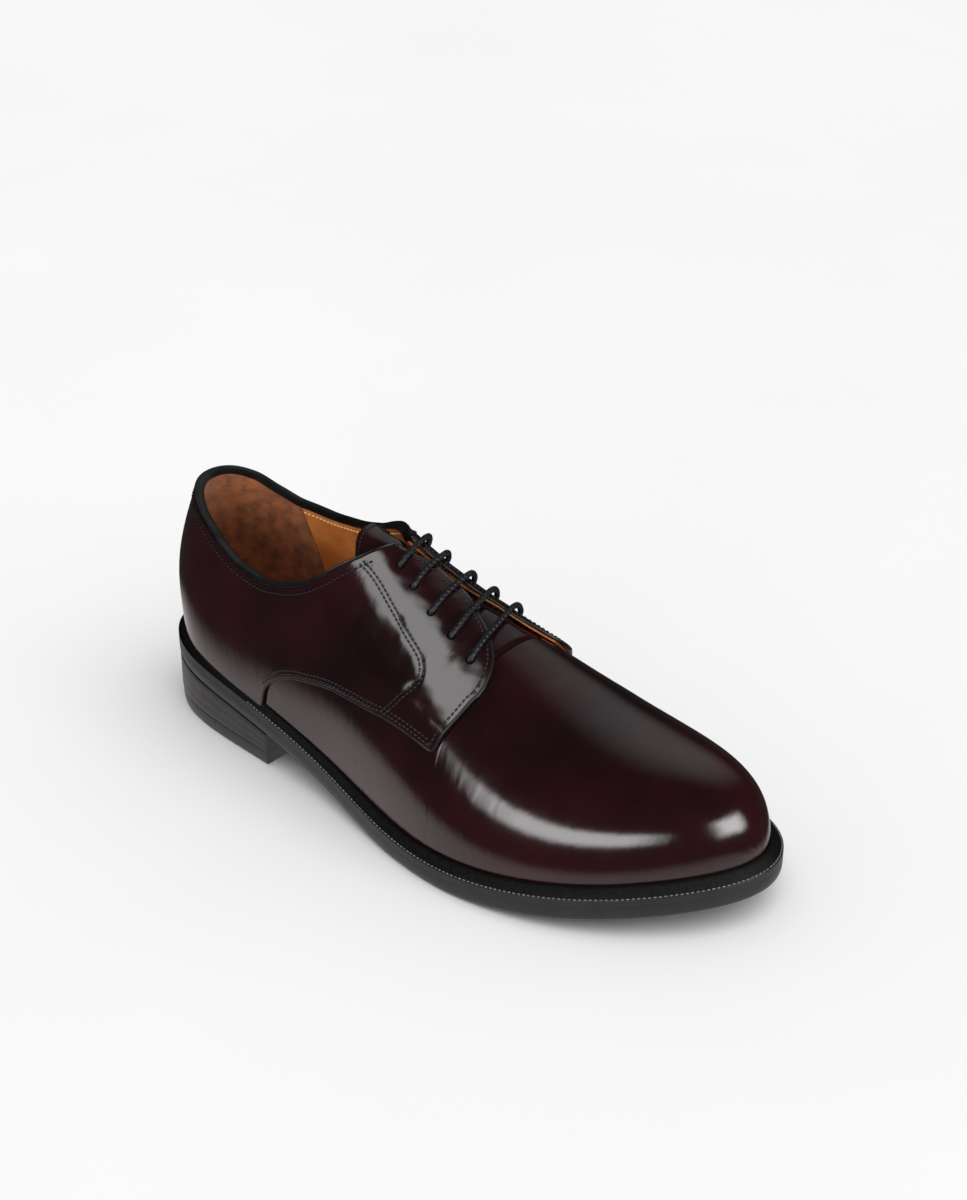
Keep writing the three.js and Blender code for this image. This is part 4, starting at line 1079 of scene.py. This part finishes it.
# ---- Stitching ----
def add_stitching():
    for label, side in SIDES:
        rows = {}
        for row, shift in enumerate((-0.85, 0.85)):
            rows[f"eyestay_stitch_{label}_{row}"] = moved(*line_on_last(EYESTAY[side]), shift)
        for row, inset in enumerate((1.7, 3.4)):
            x, lean = moved(*hem_line(side), -side * inset)
            keep = (x > 79.5) & (x < 178.5 - 0.5 * inset)
            rows[f"hem_stitch_{label}_{row}"] = x[keep], lean[keep]
        x = np.linspace(8, 121, 400)
        rows[f"topline_stitch_{label}"] = moved(x, topline(x, side), side * 4.6)
        x, lean = moved(*front_line(side), side * 2.1)
        rows[f"facing_stitch_{label}"] = x[9:], lean[9:]
        face = quarter_skin(side)
        for name, (x, lean) in rows.items():
            stitch_row(name, x, lean, face)
        x = np.linspace(46, 118, 300)
        x, lean = moved(x, topline(x, side), side * 3.4)
        turn = turn_at(x)
        path = on_last(turn, lean, lining_inner(x, lean) - 0.05)
        stitches_along(f"lining_stitch_{label}", path, -last_frame(turn, lean)[0], TAN_THREAD, pitch=2.2,
                       length=1.5)


# ---- Materials of the CAD pieces that stay ----
def finish_hidden_pieces():
    """Gives a material to each CAD piece whose name starts so. Where two fit a name, the later one holds."""
    finishes = {
        "insole": BOARD, "heel_counter": BOARD, "toe_puff": BOARD, "cork_filler": CORK, "insole_rib": CLOTH,
        "facing_stay": CLOTH, "shank": STEEL, "heel_nail": STEEL, "blind_eyelet": BRASS, "aglet": TAG,
    }
    for name, piece in frame["nodes"].items():
        for start, material in finishes.items():
            if name.startswith(start):
                piece.data.materials.clear()
                piece.data.materials.append(material)


# ---- Stage ----
def level_sheet(name, level, material):
    """A square sheet of the stage, level with the ground."""
    mesh = bpy.data.meshes.new(name)
    corners = [(-6, -6, 0), (6, -6, 0), (6, 6, 0), (-6, 6, 0)]
    mesh.from_pydata(corners, [], [(0, 1, 2, 3)])
    mesh.materials.append(material)
    sheet_piece = bpy.data.objects.new(name, mesh)
    sheet_piece.location.z = level
    bpy.context.collection.objects.link(sheet_piece)
    return sheet_piece


def add_floor():
    """A pale floor, and a card that stands for it in reflections: bright only close to the shoe."""
    floor = level_sheet("floor", -0.0002, surface(
        "pale_studio_floor", (400, "#c6c6c6", "#c9c9c9"), Roughness=0.8, IOR=1.45))
    floor.visible_glossy = False

    card = empty_tree(bpy.data.materials.new("floor_in_reflections"))
    place = node(card, "TexCoord", output="Object")
    half_length, half_width = 0.26, 0.118
    oval = node(card, "Mapping", {"Vector": place, "Scale": (1 / half_length, 1 / half_width, 1)})
    centre = node(card, "TexGradient", {"Vector": oval}, output="Fac", gradient_type="SPHERICAL")
    glow = node(card, "MapRange", {
        "Value": centre, "From Min": 0.0, "From Max": 0.3, "To Min": 0.03, "To Max": 0.75},
        interpolation_type="SMOOTHSTEP")
    shine = node(card, "Emission", {"Color": colour("#fbf4f2"), "Strength": glow})
    node(card, "OutputMaterial", {"Surface": shine})
    reflected = level_sheet("floor_reflection_card", -0.0004, card)
    reflected.visible_camera = False
    reflected.visible_diffuse = False
    reflected.visible_shadow = False


def lit_only(lamp, chosen):
    """Flags that keep a light on some of the pieces."""
    lit = bpy.data.collections.new(f"{lamp.name}_lit")
    for piece in bpy.data.objects:
        if piece.type == "MESH" and chosen(piece.name):
            lit.objects.link(piece)
    lamp.light_linking.receiver_collection = lit


def add_lamp(data, azimuth, elevation, distance=1.3):
    """Puts a lamp in a direction from the shoe, facing it."""
    a = math.radians(azimuth)
    e = math.radians(elevation)
    away = Vector((math.cos(a) * math.cos(e), math.sin(a) * math.cos(e), math.sin(e)))
    lamp = bpy.data.objects.new(data.name, data)
    lamp.location = away * distance + Vector((0.03, 0, 0.05))
    lamp.rotation_euler = away.to_track_quat("Z", "Y").to_euler()
    lamp.visible_camera = False
    bpy.context.collection.objects.link(lamp)
    return lamp


def softbox(name, azimuth, elevation, width, height, glow, distance=1.3, feather=0.3, only=""):
    """A softbox, brightest in its middle and faded towards its edges. Its light stays off the floor,
    and on the pieces whose names start as only says."""
    data = empty_tree(bpy.data.lights.new(name, "AREA"))
    data.shape = "RECTANGLE"
    data.size = width
    data.size_y = height
    data.energy = glow * math.pi * width * height
    place = node(data, "NewGeometry", output="Parametric")
    fades = []
    for axis in (0, 1):
        apart = node(data, "SeparateXYZ", {"Vector": place}, output=axis)
        off_middle = node(data, "Math", {0: apart, 1: 0.5}, operation="SUBTRACT")
        reach = node(data, "Math", {0: off_middle}, operation="ABSOLUTE")
        fades.append(node(data, "MapRange", {
            "Value": reach, "From Min": 0.5, "From Max": 0.5 - feather}, interpolation_type="SMOOTHSTEP"))
    both = node(data, "Math", {0: fades[0], 1: fades[1]}, operation="MULTIPLY")
    shine = node(data, "Emission", {"Strength": both})
    node(data, "OutputLight", {"Surface": shine})
    lamp = add_lamp(data, azimuth, elevation, distance)
    lit_only(lamp, lambda piece: piece != "floor" and piece.startswith(only))


def add_lights():
    # A direction in degrees, a width and a height in metres, then the glow and, for one, the distance.
    softbox("facing_softbox", -100, 63, 0.7, 1.55, 3.6, feather=0.25,
            only=("quarter_", "eyestay", "facing_", "hem_"))
    softbox("side_softbox", -77, 17.5, 2.0, 0.58, 6.6, feather=0.33)
    softbox("toe_softbox", 6, 18, 1.2, 0.8, 8.5, feather=0.35)
    softbox("back_softbox", 112, 42, 2.2, 1.9, 0.45, distance=1.6, feather=0.48)
    overhead = bpy.data.lights.new("floor_light", "SUN")
    overhead.angle = math.radians(70)
    overhead.energy = 2.6
    lit_only(add_lamp(overhead, -15, 62), lambda piece: piece == "floor")

    world = empty_tree(bpy.data.worlds.new("studio"))
    glossy_ray = node(world, "LightPath", output="Is Glossy Ray")
    level = node(world, "MapRange", {"Value": glossy_ray, "To Min": 1.03, "To Max": 0.015})
    room = node(world, "Background", {"Color": colour("#f6f6f6"), "Strength": level})
    node(world, "OutputWorld", {"Surface": room})
    bpy.context.scene.world = world
    bpy.context.scene.view_settings.view_transform = "Standard"


add_camera()
add_vamp()
add_quarters()
add_back_strip()
add_piping()
add_edge_beads()
add_tongue()
add_linings()
add_sock()
add_welt()
add_outsole()
add_heel()
add_lace()
add_stitching()
finish_hidden_pieces()
add_floor()
add_lights()
